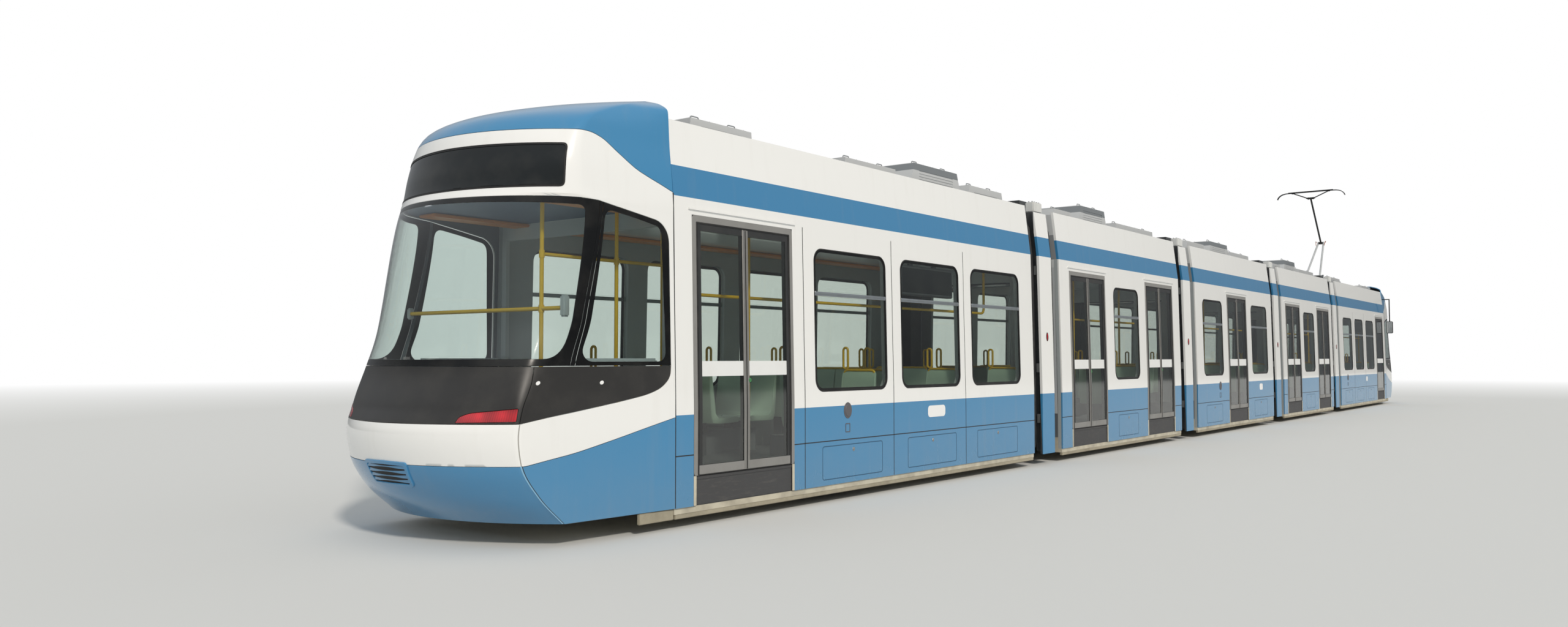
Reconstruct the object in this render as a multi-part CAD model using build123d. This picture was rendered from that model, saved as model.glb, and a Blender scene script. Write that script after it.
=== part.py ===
from build123d import *
import math
import os

# Five-section articulated low-floor tram, in millimetres.
# X runs forward from the tail to the cab, Y to the left, Z up from the tips of the wheel flanges.
# The doors are on the right-hand side (-Y). Four portals on single axles carry the section ends.

# Overall form
portal_gap = 900
half_width = 1200
wall = 70
fairing = 40
slip = 0.3

# Heights above the flange tips
sill_low = 124
skirt_low = 176
floor_under = 290
floor_top = 350
leaf_low = 430
door_glass_low = 518
lower_joint = 610
waist = 938
window_low = 1100
window_high = 2520
door_high = 2670
ceiling = 2700
wall_top = 2812
deck_top = 2832
roof_edge = 3475
portal_top = 3600
platform_top = 3490

# Place of the pantograph's base pivot, from the front section's rear end
base_from_rear = 2500

# Body side: height, half width. It leans in above the waist and more above the windows.
SIDE = [(0, 1200), (1000, 1200), (2812, 1164), (3475, 1085), (3700, 1058)]

# Sections from the tail: name, length
MODULES = [
    ("module_1", 6900),
    ("module_2", 5000),
    ("module_3", 5150),
    ("module_4", 4950),
    ("module_5", 6400),
]

# Openings by section: side, kind, start from the section's rear end, width
OPENINGS = {
    "module_1": [
        ("right", "door", 225, 1420), ("right", "window", 1990, 1310), ("right", "window", 3595, 1310),
        ("right", "window", 5200, 1310), ("left", "window", 385, 1310), ("left", "window", 1990, 1310),
        ("left", "window", 3595, 1310), ("left", "window", 5200, 1310),
    ],
    "module_2": [
        ("right", "door", 335, 1320), ("right", "window", 1975, 1050), ("right", "door", 3345, 1320),
        ("left", "window", 450, 1190), ("left", "window", 1905, 1190), ("left", "window", 3360, 1190),
    ],
    "module_3": [
        ("right", "window", 400, 1190), ("right", "door", 1915, 1320), ("right", "window", 3560, 1190),
        ("left", "window", 400, 1190), ("left", "window", 1980, 1190), ("left", "window", 3560, 1190),
    ],
    "module_4": [
        ("right", "door", 310, 1320), ("right", "window", 1950, 1050), ("right", "door", 3320, 1320),
        ("left", "window", 425, 1190), ("left", "window", 1880, 1190), ("left", "window", 3335, 1190),
    ],
    "module_5": [
        ("right", "window", 445, 1105), ("right", "window", 1965, 1105), ("right", "window", 3485, 1105),
        ("right", "single_door", 4960, 1150), ("left", "window", 445, 1105), ("left", "window", 1965, 1105),
        ("left", "window", 3485, 1105), ("left", "window", 5005, 1105),
    ],
}

# Upright joints between outer panels: section, distances from the section's rear end
PANEL_JOINTS = {
    "module_1": [1815, 3420, 5025],
    "module_2": [],
    "module_3": [],
    "module_4": [],
    "module_5": [1750, 3270],
}

# Roof containers: section, start from the rear end, length, half width, top height, lean of the ends
ROOF_GEAR = {
    "module_1": [(500, 900, 880, 3600, 20), (2950, 1050, 880, 3590, 20), (4250, 1250, 900, 3720, 120),
                 (5650, 1000, 900, 3620, 60)],
    "module_2": [(450, 700, 880, 3600, 60), (1300, 1150, 900, 3740, 120), (2900, 1750, 860, 3620, 40)],
    "module_3": [(450, 1100, 880, 3620, 60), (1750, 1300, 900, 3720, 120), (3350, 1300, 860, 3620, 40)],
    "module_4": [(450, 700, 880, 3600, 60), (1350, 1150, 900, 3740, 120), (2900, 1600, 860, 3620, 40)],
    "module_5": [(400, 1300, 880, 3620, 60), (base_from_rear - 350, 2000, 800, platform_top, 5),
                 (4700, 1300, 880, 3600, 40)],
}

# Windows and doors
window_radius = 130
glass = 8
glass_recess = 5
glass_gap = 0.3
door_frame = 70
door_thick = 45
leaf_gap = 3
leaf_stile = 38
leaf_top_rail = 60
jamb_width = 34
step_thick = 30
step_recess = 12
joint_groove = 6
groove_depth = 5
transom_low, transom_high = 2045, 2100
drip_low, drip_high = 2712, 2730
drip_out, drip_over = 14, 45

# Hinged covers in the skirt, one under each window
hatch_inset = 110
hatch_low, hatch_high = 228, 562
hatch_radius = 30
hatch_groove = 5

# Louvres in the sides of the roof containers
louvre_pitch = 34
louvre_high = 16
louvre_deep = 6
louvre_margin = 0.18

# Gangways
hoop = 40
gangway_half = 880
gangway_high = 2450
nose_opening_half = 1040
nose_opening_high = 2560
portal_half = 150
cover_half = 190
cover_thick = 34
plate_radius = 390
plate_recess = 6
bellows_out = 1100
bellows_fold = 16
bellows_folds = 4

# Wheels and running gear. The axle frames lie inside the wheels, under a floor that rises over the axle.
wheel_radius = 280
flange = 22
axle_height = wheel_radius + flange
back_to_back = 930
tyre_width = 105
hub_radius = 95
axle_radius = 50
journal_radius = 42
bearing_gap = 0.3
wheel_room = 18
box_plate = 10
beam_in = 345
beam_out = 425
beam_low = 190
axle_box_high = 358
end_axle_from_joint = 2645
podium_half = 420
podium_high = 640
ridge_under = 364
ridge_top = 410
ramp_flat = 450
ramp_end = 800
ramp_half = 420

# Articulation pivots: a tongue on the section's frame between two plates on the portal
pivot_pin = 25
pivot_eye = 62
tongue_low = 208
tongue_high = 262
pivot_plate = 18
pivot_gap = 5

# Pantograph: height of the base pivot, then the knee and the head pivot measured from it
base_pivot_high = 3780
knee_ahead, knee_above = 1120, 1070
head_behind, head_above = 60, 2280
arm_tube = 26
upper_tube = 24
pan_gap = 6
pan_pin = 14
pin_gap = 0.3
knee_half = 54
ear = 22
base_tube_half = 260
head_half = 910
head_strip_half = 620
head_rise = 210
base_rail_in, base_rail_out = 380, 440
base_bar = 60
base_bar_below = 140
insulator = 34
insulator_sheds = 3


def half_at(z):
    """Half width of the body at a height, from the side's straight stretches."""
    for (z0, w0), (z1, w1) in zip(SIDE, SIDE[1:]):
        if z <= z1:
            return w0 + (w1 - w0) * (z - z0) / (z1 - z0)
    return SIDE[-1][1]


def along_x(points, x0, x1):
    """Prism from a closed outline of (y, z) points, between two x."""
    plane = Plane(origin=(x0, 0, 0), x_dir=(0, 1, 0), z_dir=(1, 0, 0))
    return extrude(plane * make_face(Polyline(*points, close=True)), amount=x1 - x0)


def along_y(face, y0, y1):
    """Prism from a face drawn in (x, z), between two y."""
    plane = Plane(origin=(0, y1, 0), x_dir=(1, 0, 0), z_dir=(0, -1, 0))
    return extrude(plane * face, amount=y1 - y0)


def block(x0, x1, y0, y1, z0, z1):
    return Pos((x0 + x1) / 2, (y0 + y1) / 2, (z0 + z1) / 2) * Box(abs(x1 - x0), abs(y1 - y0), abs(z1 - z0))


def rounded_window(x0, x1, z0, z1, radius, y0, y1):
    face = Pos((x0 + x1) / 2, (z0 + z1) / 2) * RectangleRounded(x1 - x0, z1 - z0, radius)
    return along_y(face, y0, y1)


def side_strip(side, z0, z1, outer, inner, x0, x1):
    """Plate that follows the body side between two heights and two depths below its surface."""
    sign = -1 if side == "right" else 1
    levels = [z0] + [z for z, w in SIDE if z0 < z < z1] + [z1]
    outside = [(sign * (half_at(z) - outer), z) for z in levels]
    inside = [(sign * (half_at(z) - inner), z) for z in reversed(levels)]
    return along_x(outside + inside, x0, x1)


def side_range(side):
    """Y range that a cut through one side wall needs."""
    return (-half_width - 50, -half_width + 250) if side == "right" else (half_width - 250, half_width + 50)


def save(node, shape):
    """Write one sub-part as a STEP file named for its node."""
    solids = shape if isinstance(shape, list) else [shape]
    flat = [s for item in solids for s in item.solids()]
    export_step(Compound(children=flat), os.path.join("parts", node + ".step"))


# Body sections

def module_places():
    """Name, rear x and front x of every section."""
    places = []
    body_length = sum(length for name, length in MODULES) + portal_gap * (len(MODULES) - 1)
    x = -body_length / 2
    for name, length in MODULES:
        places.append((name, x, x + length))
        x += length + portal_gap
    return places


def make_walls(name, x0, x1):
    """Two side walls with windows, doorways, panel joints, skirt covers and drip rails over the doors."""
    walls = []
    for side in ("right", "left"):
        shell = side_strip(side, skirt_low, wall_top, 0, wall, x0, x1)
        y0, y1 = side_range(side)
        skin = side_strip(side, skirt_low - 1, wall_top + 1, -1, groove_depth, x0, x1)
        grooves = []
        for where, kind, start, width in OPENINGS[name]:
            if where != side:
                continue
            a, b = x0 + start, x0 + start + width
            if kind == "window":
                shell -= rounded_window(a, b, window_low, window_high, window_radius, y0, y1)
                grooves.append(hatch_outline(a + hatch_inset, b - hatch_inset, y0, y1))
            else:
                shell -= block(a, b, y0, y1, skirt_low - 10, door_high)
                shell += side_strip(side, drip_low, drip_high, -drip_out, 5, a - drip_over, b + drip_over)
        for start in PANEL_JOINTS[name]:
            x = x0 + start
            g = joint_groove / 2
            grooves.append(block(x - g, x + g, y0, y1, skirt_low - 1, drip_low - 5))
        for a, b in plain_lengths(name, side, x0, x1):
            g = joint_groove / 2
            grooves.append(block(a, b, y0, y1, lower_joint - g, lower_joint + g))
        for groove in grooves:
            shell -= groove & skin
        walls.append(shell)
    return walls


def hatch_outline(a, b, y0, y1):
    """Narrow ring that marks the edge of a cover in the skirt."""
    g = hatch_groove
    outside = rounded_window(a, b, hatch_low, hatch_high, hatch_radius, y0, y1)
    return outside - rounded_window(a + g, b - g, hatch_low + g, hatch_high - g, hatch_radius - g, y0, y1)


def plain_lengths(name, side, x0, x1):
    """Stretches of one side between its doors, where the joint over the covers runs."""
    doors = [(x0 + start, x0 + start + width) for where, kind, start, width in OPENINGS[name]
             if where == side and kind != "window"]
    ends = [x0] + [x for door in sorted(doors) for x in door] + [x1]
    return [(a, b) for a, b in zip(ends[::2], ends[1::2]) if b - a > 2 * door_frame]


def make_roof(name, x0, x1):
    edge, low = half_at(roof_edge), half_at(wall_top)
    deck = low - wall - slip
    half = [
        (deck, ceiling), (deck, wall_top), (low, wall_top), (edge, roof_edge), (edge - fairing, roof_edge),
        (half_at(deck_top) - fairing, deck_top),
    ]
    outline = [(-y, z) for y, z in half] + list(reversed(half))
    roof = along_x(outline, x0, x1)
    end_low, end_high = half_at(deck_top) - 5, edge - 5
    end_wall = [
        (-end_low, deck_top - 5), (end_low, deck_top - 5),
        (end_high, roof_edge - 30), (-end_high, roof_edge - 30),
    ]
    for x in (x0, x1 - fairing):
        roof += along_x(end_wall, x, x + fairing)
    for start, length, half_w, top, lean in ROOF_GEAR[name]:
        a, b = x0 + start, x0 + start + length
        shoulder = roof_edge - 60
        face = make_face(Polyline((a, deck_top - 5), (b, deck_top - 5), (b, shoulder), (b - lean, top),
                                  (a + lean, top), (a, shoulder), close=True))
        roof += along_y(face, -half_w, half_w)
        roof -= louvres(a + length * louvre_margin, b - length * louvre_margin, half_w, top)
    return roof


def louvres(a, b, half_w, top):
    """Level slots in both sides of a roof container, as many as its height above the fairing takes."""
    low = roof_edge + louvre_high
    count = max(0, int((top - 2 * louvre_high - low) / louvre_pitch))
    slots = []
    for i in range(count):
        z = low + i * louvre_pitch
        for s in (-1, 1):
            y_in, y_out = sorted((s * (half_w - louvre_deep), s * (half_w + 1)))
            slots.append(block(a, b, y_in, y_out, z, z + louvre_high))
    return slots


# Floors and the section ends

def axle_x():
    """X of the six wheelsets, from the tail."""
    places = module_places()
    rear = places[0][1] + end_axle_from_joint
    front = places[-1][2] - end_axle_from_joint
    return [rear] + portal_centres() + [front]


def portal_centres():
    places = module_places()
    return [places[i][2] + portal_gap / 2 for i in range(len(places) - 1)]


def pivot_reach():
    """Distance from a section's end to the upright hinge axis, midway to the portal."""
    return (portal_gap / 2 - portal_half) / 2


def hinge_x(centre, step):
    """X of a portal's hinge axis: step is -1 behind the portal and 1 ahead of it."""
    return centre + step * (portal_gap / 2 - pivot_reach())


def make_frame(name, x0, x1):
    """Floor with sills, a hoop at each end, the gangway ramps and pivots, and the boxes over end wheels."""
    inner = half_at(floor_top) - wall - slip
    leg = 70
    lip = 14
    half = [(inner, floor_top), (inner, skirt_low - slip), (half_width - lip, skirt_low - slip),
            (half_width - lip, sill_low), (inner - leg, sill_low), (inner - leg, floor_under)]
    outline = [(-y, z) for y, z in half] + list(reversed(half))
    frame = along_x(outline, x0, x1)
    first, last = name == MODULES[0][0], name == MODULES[-1][0]
    for x, end in ((x0, "rear"), (x1 - hoop, "front")):
        nose_end = (first and end == "rear") or (last and end == "front")
        if nose_end:
            frame += make_hoop(x, x + hoop, nose_opening_half, nose_opening_high)
        else:
            frame += make_hoop(x, x + hoop, gangway_half, gangway_high)
    if not first:
        frame = add_gangway_end(frame, x0, 1)
    if not last:
        frame = add_gangway_end(frame, x1, -1)
    if first or last:
        frame = add_axle_room(frame, axle_x()[0] if first else axle_x()[-1], inner, leg)
        frame += nose_floor(x0 if first else x1, -1 if first else 1)
    return frame


def add_gangway_end(frame, x, inward):
    """Ramp up to the portal's floor, round recess for its turning plate, and the pivot tongue below."""
    flat_end, foot = x + inward * ramp_flat, x + inward * ramp_end
    ramp = make_face(Polyline((x, floor_top - 10), (x, ridge_top), (flat_end, ridge_top), (foot, floor_top),
                              (foot, floor_top - 10), close=True))
    frame += along_y(ramp, -ramp_half, ramp_half)
    axis_x = x - inward * pivot_reach()
    above = ridge_top + 20
    frame -= Pos(axis_x, 0, above) * Cylinder(plate_radius + plate_recess, 2 * (above - ridge_under))
    low, high = sorted((axis_x, x + inward * 300))
    frame += block(low, high, -pivot_eye, pivot_eye, tongue_low, tongue_high)
    frame += Pos(axis_x, 0, (tongue_low + tongue_high) / 2) * Cylinder(pivot_eye, tongue_high - tongue_low)
    low, high = sorted((x + inward * 10, x + inward * 300))
    frame += block(low, high, -2 * pivot_eye, 2 * pivot_eye, tongue_low, floor_under)
    frame -= Pos(axis_x, 0, tongue_low) * Cylinder(pivot_pin + bearing_gap, 200)
    return frame


def add_axle_room(frame, x, inner, leg):
    """Boxes over the wheels of an end section, and the floor raised over its axle."""
    wheel_in = back_to_back / 2 - wheel_room
    for s in (-1, 1):
        low, high = sorted((s * (wheel_in - box_plate), s * inner))
        frame += block(x - podium_half, x + podium_half, low, high, floor_under, podium_high)
        low, high = sorted((s * wheel_in, s * (inner - leg)))
        frame -= block(x - podium_half + box_plate, x + podium_half - box_plate, low, high, floor_under - 10,
                       podium_high - box_plate)
    ridge = make_face(Polyline((x - ramp_end, floor_top - 5), (x - 150, ridge_top), (x + 150, ridge_top),
                               (x + ramp_end, floor_top - 5), close=True))
    frame += along_y(ridge, -wheel_in, wheel_in)
    tunnel = 95
    frame -= block(x - tunnel, x + tunnel, -wheel_in - 1, wheel_in + 1, floor_under - 10, ridge_under)
    return frame


def make_hoop(x0, x1, opening_half, opening_high):
    """Ring plate between the side walls, with the passage cut out."""
    out_low, out_high = half_at(floor_top) - wall - slip, half_at(ceiling) - wall - slip
    outline = [(-out_low, floor_top), (out_low, floor_top), (out_high, ceiling), (-out_high, ceiling)]
    ring = along_x(outline, x0, x1)
    ring -= block(x0 - 1, x1 + 1, -opening_half, opening_half, floor_top - 1, opening_high)
    return ring


# Noses. Level sections: height, half width at the joint, distance from the joint to the corner,
# half width at the corner, distance from the joint to the middle of the end
NOSE = [
    (skirt_low, 1200, 1150, 1130, 1560),
    (400, 1200, 1385, 1118, 1820),
    (640, 1200, 1540, 1106, 1960),
    (860, 1200, 1575, 1102, 2000),
    (1060, 1199, 1540, 1104, 1910),
    (1370, 1193, 1425, 1108, 1780),
    (1760, 1185, 1210, 1118, 1745),
    (2690, 1166, 975, 1118, 1575),
]
HEADER = [
    (2690, 1166, 1090, 1110, 1545),
    (2960, 1146, 1045, 1092, 1470),
    (3230, 1118, 960, 1062, 1400),
]
CAP = [
    (3230, 1118, 960, 1062, 1400),
    (3340, 1111, 880, 1050, 1320),
    (3440, 1105, 690, 1030, 1130),
    (3530, 1096, 450, 1000, 840),
    (3605, 1000, 205, 915, 520),
    (3660, 820, 60, 720, 190),
]
nose_wall = 60
nose_pane_recess = 2
panel_thick = 30
lamp_thick = 28
beyond = 2200

# Outlines on the nose, seen from the side: distance from the joint, height
SCREEN = [(1440, 1370), (1225, 1760), (990, 2690), (beyond, 2690), (beyond, 1370)]
PANEL = [(55, 1370), (55, 1280), (130, 1195), (300, 1140), (1500, 962), (beyond, 930), (beyond, 1370)]
SIDE_WINDOW = [(50, 1370), (50, 2460), (95, 2530), (215, 2585), (810, 2690), (1045, 1760), (1165, 1370)]

# Places on the end of the nose: half widths or distances from the middle, and heights
display_half = 1045
display_low, display_high = 2760, 3115
lamp_in, lamp_out = 700, 1150
lamp_low, lamp_high = 948, 1052
flap_half = 265
flap_low, flap_high = 455, 655
flap_proud = 10
flap_slots = 4
flap_slot = 12


def level_face(row, inset, back):
    """Plan of the nose at one height: straight sides and an arched end, drawn with x away from the joint."""
    z, joint_half, corner, corner_half, end = row
    a, b = joint_half - inset, corner_half - inset
    corner, end = corner - inset * 0.6, end - inset
    points = [(corner, -b), (0, -a), (0, a), (corner, b)]
    if back:
        points[2:2] = [(-back, -a), (-back, a)]
    arch = ThreePointArc((corner, b), (end, 0), (corner, -b))
    return Pos(0, 0, z) * make_face(Polyline(*points).edges() + [arch])


def nose_body(rows, inset=0, back=0):
    return loft([level_face(row, inset, back) for row in rows], ruled=True)


def nose_skin(rows, outer, inner, back=0):
    """Shell between two depths under the nose's surface."""
    return nose_body(rows, outer) - nose_body(rows, inner, back)


def on_nose(outline, grow=0):
    """Prism across the nose from an outline of (distance from the joint, height), grown by a gap."""
    face = make_face(Polyline(*outline, close=True))
    if grow:
        face = offset(face, amount=grow, kind=Kind.INTERSECTION)
    return along_y(face, -half_width - 100, half_width + 100)


def nose_floor(x, direction):
    """Floor and sills carried on into the nose."""
    far, far_half, near_half = 1150, 1010, 1126
    face = make_face(Polyline((0, -near_half), (far, -far_half), (far, far_half), (0, near_half), close=True))
    plate = Pos(0, 0, floor_under) * extrude(face, amount=floor_top - floor_under)
    return place_nose(plate, x, direction)


def place_nose(shape, x, direction):
    """Turn a piece drawn with x away from the joint to the tail (-1) or the cab (1)."""
    if direction < 0:
        shape = mirror(shape, about=Plane.YZ)
    return Pos(x, 0, 0) * shape


def nose_regions(gap):
    """Prisms that part the nose into pieces, each grown by a gap on every side."""
    screen, panel, side = (on_nose(outline, gap) for outline in (SCREEN, PANEL, SIDE_WINDOW))
    low, high, half = display_low - gap, display_high + gap, display_half + gap
    display = block(900, beyond, -half, half, low, high)
    lamps = []
    for s in (-1, 1):
        y0, y1 = sorted((s * (lamp_in - gap), s * (lamp_out + gap)))
        lamps.append(block(1300, beyond, y0, y1, lamp_low - gap, lamp_high + gap))
    return screen, panel, side, display, lamps


def make_flap():
    """Cover over the folded coupler, standing proud of the bumper, with level slots."""
    rows = NOSE[:4]
    flap = nose_skin(rows, -flap_proud, 1) & block(1300, beyond, -flap_half, flap_half, flap_low, flap_high)
    shallow = nose_skin(rows, -flap_proud - 1, -flap_proud / 3)
    pitch = (flap_high - flap_low) / (flap_slots + 1)
    half = flap_half - 35
    for i in range(flap_slots):
        z = flap_low + (i + 1) * pitch
        flap -= shallow & block(1300, beyond, -half, half, z - flap_slot / 2, z + flap_slot / 2)
    return flap


def make_nose():
    """Shell, black panel, glazing and lamp glasses of one nose, with x away from the joint."""
    screen, panel, side, display, lamps = nose_regions(0)
    screen_cut, panel_cut, side_cut, display_cut, lamps_cut = nose_regions(glass_gap)
    shell = nose_skin(NOSE, 0, nose_wall, 100) + nose_skin(HEADER, 0, nose_wall, 100)
    shell += nose_body(CAP) - nose_body(CAP[:-1], nose_wall, 100)
    pane = nose_skin(NOSE, nose_pane_recess, nose_pane_recess + glass)
    header_pane = nose_skin(HEADER, nose_pane_recess, nose_pane_recess + glass)
    bumper = nose_skin(NOSE[2:6], 0, lamp_thick)
    black = nose_skin(NOSE, 0, panel_thick, 100) & panel
    lights = []
    for lamp, cut in zip(lamps, lamps_cut):
        black -= cut
        lights.append(bumper & lamp)
    glazing = [pane & screen, pane & side, header_pane & display]
    for cut in [screen_cut, panel_cut, side_cut, display_cut] + lamps_cut:
        shell -= cut
    return shell + make_flap(), black, glazing, lights


# Glazing and doors

def make_glass(name, x0, x1):
    """Panes of one section: lower pane, bar and upper pane in each window, and one pane in each door leaf."""
    panes = []
    for side, kind, start, width in OPENINGS[name]:
        a, b = x0 + start, x0 + start + width
        if kind == "window":
            panes += window_panes(side, a, b)
        else:
            bottom, top = door_glass_low + glass_gap, door_high - door_frame - leaf_top_rail - glass_gap
            for low, high in leaf_ranges(a, b, kind):
                near, far = low + leaf_stile + glass_gap, high - leaf_stile - glass_gap
                panes.append(side_strip(side, bottom, top, glass_recess, glass_recess + glass, near, far))
    return panes


def window_panes(side, a, b):
    """Lower pane, transom bar and upper pane within one rounded opening."""
    y0, y1 = side_range(side)
    g = glass_gap
    hole = rounded_window(a + g, b - g, window_low + g, window_high - g, window_radius - g, y0, y1)
    bands = [
        (window_low - 5, transom_low - g, glass_recess, glass_recess + glass),
        (transom_low, transom_high, glass_recess - 3, glass_recess + 30),
        (transom_high + g, window_high + 5, glass_recess, glass_recess + glass),
    ]
    return [side_strip(side, low, high, outer, inner, a, b) & hole for low, high, outer, inner in bands]


def leaf_ranges(a, b, kind):
    """X range of each leaf of a door between its jambs."""
    low, high = a + door_frame + leaf_gap, b - door_frame - leaf_gap
    if kind == "single_door":
        return [(low, high)]
    middle = (a + b) / 2
    return [(low, middle - leaf_gap / 2), (middle + leaf_gap / 2, high)]


def make_doors(name, x0, x1):
    """Door frames, leaves, the fixed panels under them and the jambs down to the sill."""
    pieces = []
    for side, kind, start, width in OPENINGS[name]:
        if kind == "window":
            continue
        a, b = x0 + start + slip, x0 + start + width - slip
        y0, y1 = side_range(side)
        frame = side_strip(side, leaf_low, door_high - slip, 0, wall, a, b)
        frame -= block(a + door_frame, b - door_frame, y0, y1, leaf_low - 5, door_high - door_frame)
        pieces.append(frame)
        for low, high in leaf_ranges(a, b, kind):
            leaf = side_strip(side, leaf_low, door_high - door_frame - slip, 0, door_thick, low, high)
            leaf -= block(low + leaf_stile, high - leaf_stile, y0, y1, door_glass_low,
                          door_high - door_frame - leaf_top_rail)
            pieces.append(leaf)
        pieces.append(side_strip(side, skirt_low, leaf_low - slip, step_recess, step_recess + step_thick,
                                 a + jamb_width + slip, b - jamb_width - slip))
        for low, high in ((a, a + jamb_width), (b - jamb_width, b)):
            pieces.append(side_strip(side, skirt_low, leaf_low - slip, 0, wall, low, high))
    return pieces


# Seats and poles. Seat rows: section, side, distance from the rear end, facing (1 forward, -1 back)
SEATS = {
    "module_1": [
        ("left", 700, 1), ("left", 1500, -1), ("left", 2350, 1), ("left", 2950, -1), ("left", 3900, 1),
        ("left", 4750, -1), ("left", 5500, 1), ("left", 6350, -1), ("right", 2350, 1), ("right", 2950, -1),
        ("right", 3900, 1), ("right", 4750, -1), ("right", 5500, 1), ("right", 6350, -1),
    ],
    "module_2": [
        ("left", 850, 1), ("left", 1650, -1), ("left", 2500, 1), ("left", 3350, -1), ("left", 4200, 1),
        ("right", 2050, 1), ("right", 2950, -1),
    ],
    "module_3": [
        ("left", 750, 1), ("left", 1600, -1), ("left", 2500, 1), ("left", 3400, -1), ("left", 4400, 1),
        ("right", 650, 1), ("right", 1500, -1), ("right", 3700, 1), ("right", 4600, -1),
    ],
    "module_4": [
        ("left", 850, 1), ("left", 1650, -1), ("left", 2500, 1), ("left", 3350, -1), ("left", 4150, 1),
        ("right", 2050, 1), ("right", 2900, -1),
    ],
    "module_5": [
        ("left", 750, 1), ("left", 1600, -1), ("left", 2350, 1), ("left", 3480, 1), ("left", 4040, -1),
        ("right", 750, 1), ("right", 1600, -1), ("right", 2350, 1), ("right", 3480, 1), ("right", 4040, -1),
    ],
}
seat_high = 790
seat_deep = 430
seat_thick = 60
seat_round = 24
seat_scoop = 75
back_high = 1290
back_thick = 45
back_rake = 45
seat_wide = 430
seat_wall_gap = 20
pole_radius = 17
pole_in = 500

# Upright poles: section, distances from the rear end, on the door side of the aisle
POLES = {
    "module_1": [350, 1560],
    "module_2": [420, 1570, 3430, 4580],
    "module_3": [2000, 3150],
    "module_4": [400, 1550, 3400, 4550],
    "module_5": [5040, 6030],
}


def seat_base(x):
    """Height that a seat stands on: the floor, or the box over the wheels."""
    over_wheels = any(abs(x - axle) < podium_half - 20 for axle in (axle_x()[0], axle_x()[-1]))
    return podium_high if over_wheels else floor_top


def bench_outline():
    """Side view of a bench shell: rounded front edge, pan, scoop up into the raked back, rounded head."""
    top, under, crown = seat_high, seat_high - seat_thick, back_high - back_thick / 2
    front = seat_deep - seat_round
    head = 25 - back_rake
    return make_face([
        Line((-30, under), (front, top - 2 * seat_round)),
        ThreePointArc((front, top - 2 * seat_round), (seat_deep, top - seat_round), (front, top)),
        Line((front, top), (25 + seat_scoop, top)),
        ThreePointArc((25 + seat_scoop, top), (25 + 0.3 * seat_scoop, top + 0.3 * seat_scoop),
                      (25, top + seat_scoop)),
        Line((25, top + seat_scoop), (head, crown)),
        ThreePointArc((head, crown), (head - back_thick / 2, back_high), (head - back_thick, crown)),
        Line((head - back_thick, crown), (-30, under)),
    ])


def make_seat(x, facing, y0, y1, stand):
    """One bench: moulded shell on a foot."""
    under = seat_high - seat_thick
    foot = make_face(Polyline((90, stand), (300, stand), (270, under + 20), (120, under + 20), close=True))
    middle = (y0 + y1) / 2
    bench = along_y(bench_outline(), y0, y1) + along_y(foot, middle - 60, middle + 60)
    if facing < 0:
        bench = mirror(bench, about=Plane.YZ)
    return Pos(x, 0, 0) * bench


def make_interior(name, x0):
    """Benches and upright poles of one section."""
    pieces = []
    inner = half_at(window_low) - wall - seat_wall_gap
    for side, start, facing in SEATS[name]:
        x = x0 + start - facing * seat_deep / 2
        stand = seat_base(x0 + start)
        if side == "left":
            pieces.append(make_seat(x, facing, inner - 2 * seat_wide, inner, stand))
        else:
            pieces.append(make_seat(x, facing, -inner, -inner + seat_wide, stand))
    for start in POLES[name]:
        pole = Cylinder(pole_radius, ceiling - floor_top)
        pieces.append(Pos(x0 + start, -half_width + pole_in, (floor_top + ceiling) / 2) * pole)
    return pieces


# Portals

def make_portal(centre):
    """Hoop, outer covers, roof beam, turning floor plate, wheel boxes and axle frame as one welded piece."""
    half = portal_half
    ring = make_hoop(centre - half, centre + half, gangway_half, gangway_high)
    top_half = half_at(ceiling) - wall - slip
    edge_half = half_at(roof_edge) - 30
    shoulder = roof_edge - 60
    beam = [
        (-top_half, ceiling - 10), (top_half, ceiling - 10), (edge_half, shoulder), (-edge_half, shoulder),
    ]
    lid = [(-900, shoulder - 10), (900, shoulder - 10), (860, portal_top), (-860, portal_top)]
    for outline in (beam, lid):
        ring += along_x(outline, centre - half, centre + half)
    for side in ("right", "left"):
        near, far = centre - cover_half, centre + cover_half
        ring += side_strip(side, sill_low + 20, shoulder, 0, cover_thick, near, far)
        ring += side_strip(side, sill_low + 60, shoulder, cover_thick - 5, wall + 40, near + 40, far - 40)
    plate_low = ridge_top - 40
    for step in (-1, 1):
        axis_x = hinge_x(centre, step)
        ring += Pos(axis_x, 0, (plate_low + ridge_top) / 2) * Cylinder(plate_radius, ridge_top - plate_low)
        ring += make_pivot_clevis(centre, axis_x, step)
    ring += block(centre - cover_half, centre + cover_half, -plate_radius, plate_radius, plate_low, ridge_top)
    room = wheel_radius + flange + wheel_room
    wheel_in, wheel_out = back_to_back / 2 - wheel_room, back_to_back / 2 + tyre_width + wheel_room
    top = axle_height + room + box_plate
    long_half = room + 6
    for s in (-1, 1):
        low, high = sorted((s * (beam_out - 45), s * (wheel_out + box_plate)))
        ring += block(centre - long_half, centre + long_half, low, high, plate_low, top)
        low, high = sorted((s * wheel_out, s * (half_width - wall)))
        ring += block(centre - half, centre + half, low, high, floor_under, top - 60)
        low, high = sorted((s * wheel_in, s * wheel_out))
        inside = long_half - 8
        ring -= block(centre - inside, centre + inside, low, high, plate_low - 10, top - box_plate)
        low, high = sorted((s * beam_in, s * beam_out))
        for dx in (-1, 1):
            post_low, post_high = sorted((centre + dx * 110, centre + dx * 230))
            ring += block(post_low, post_high, low, high, beam_low + 10, plate_low + 10)
    ring += make_axle_frame(centre)
    return ring


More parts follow.
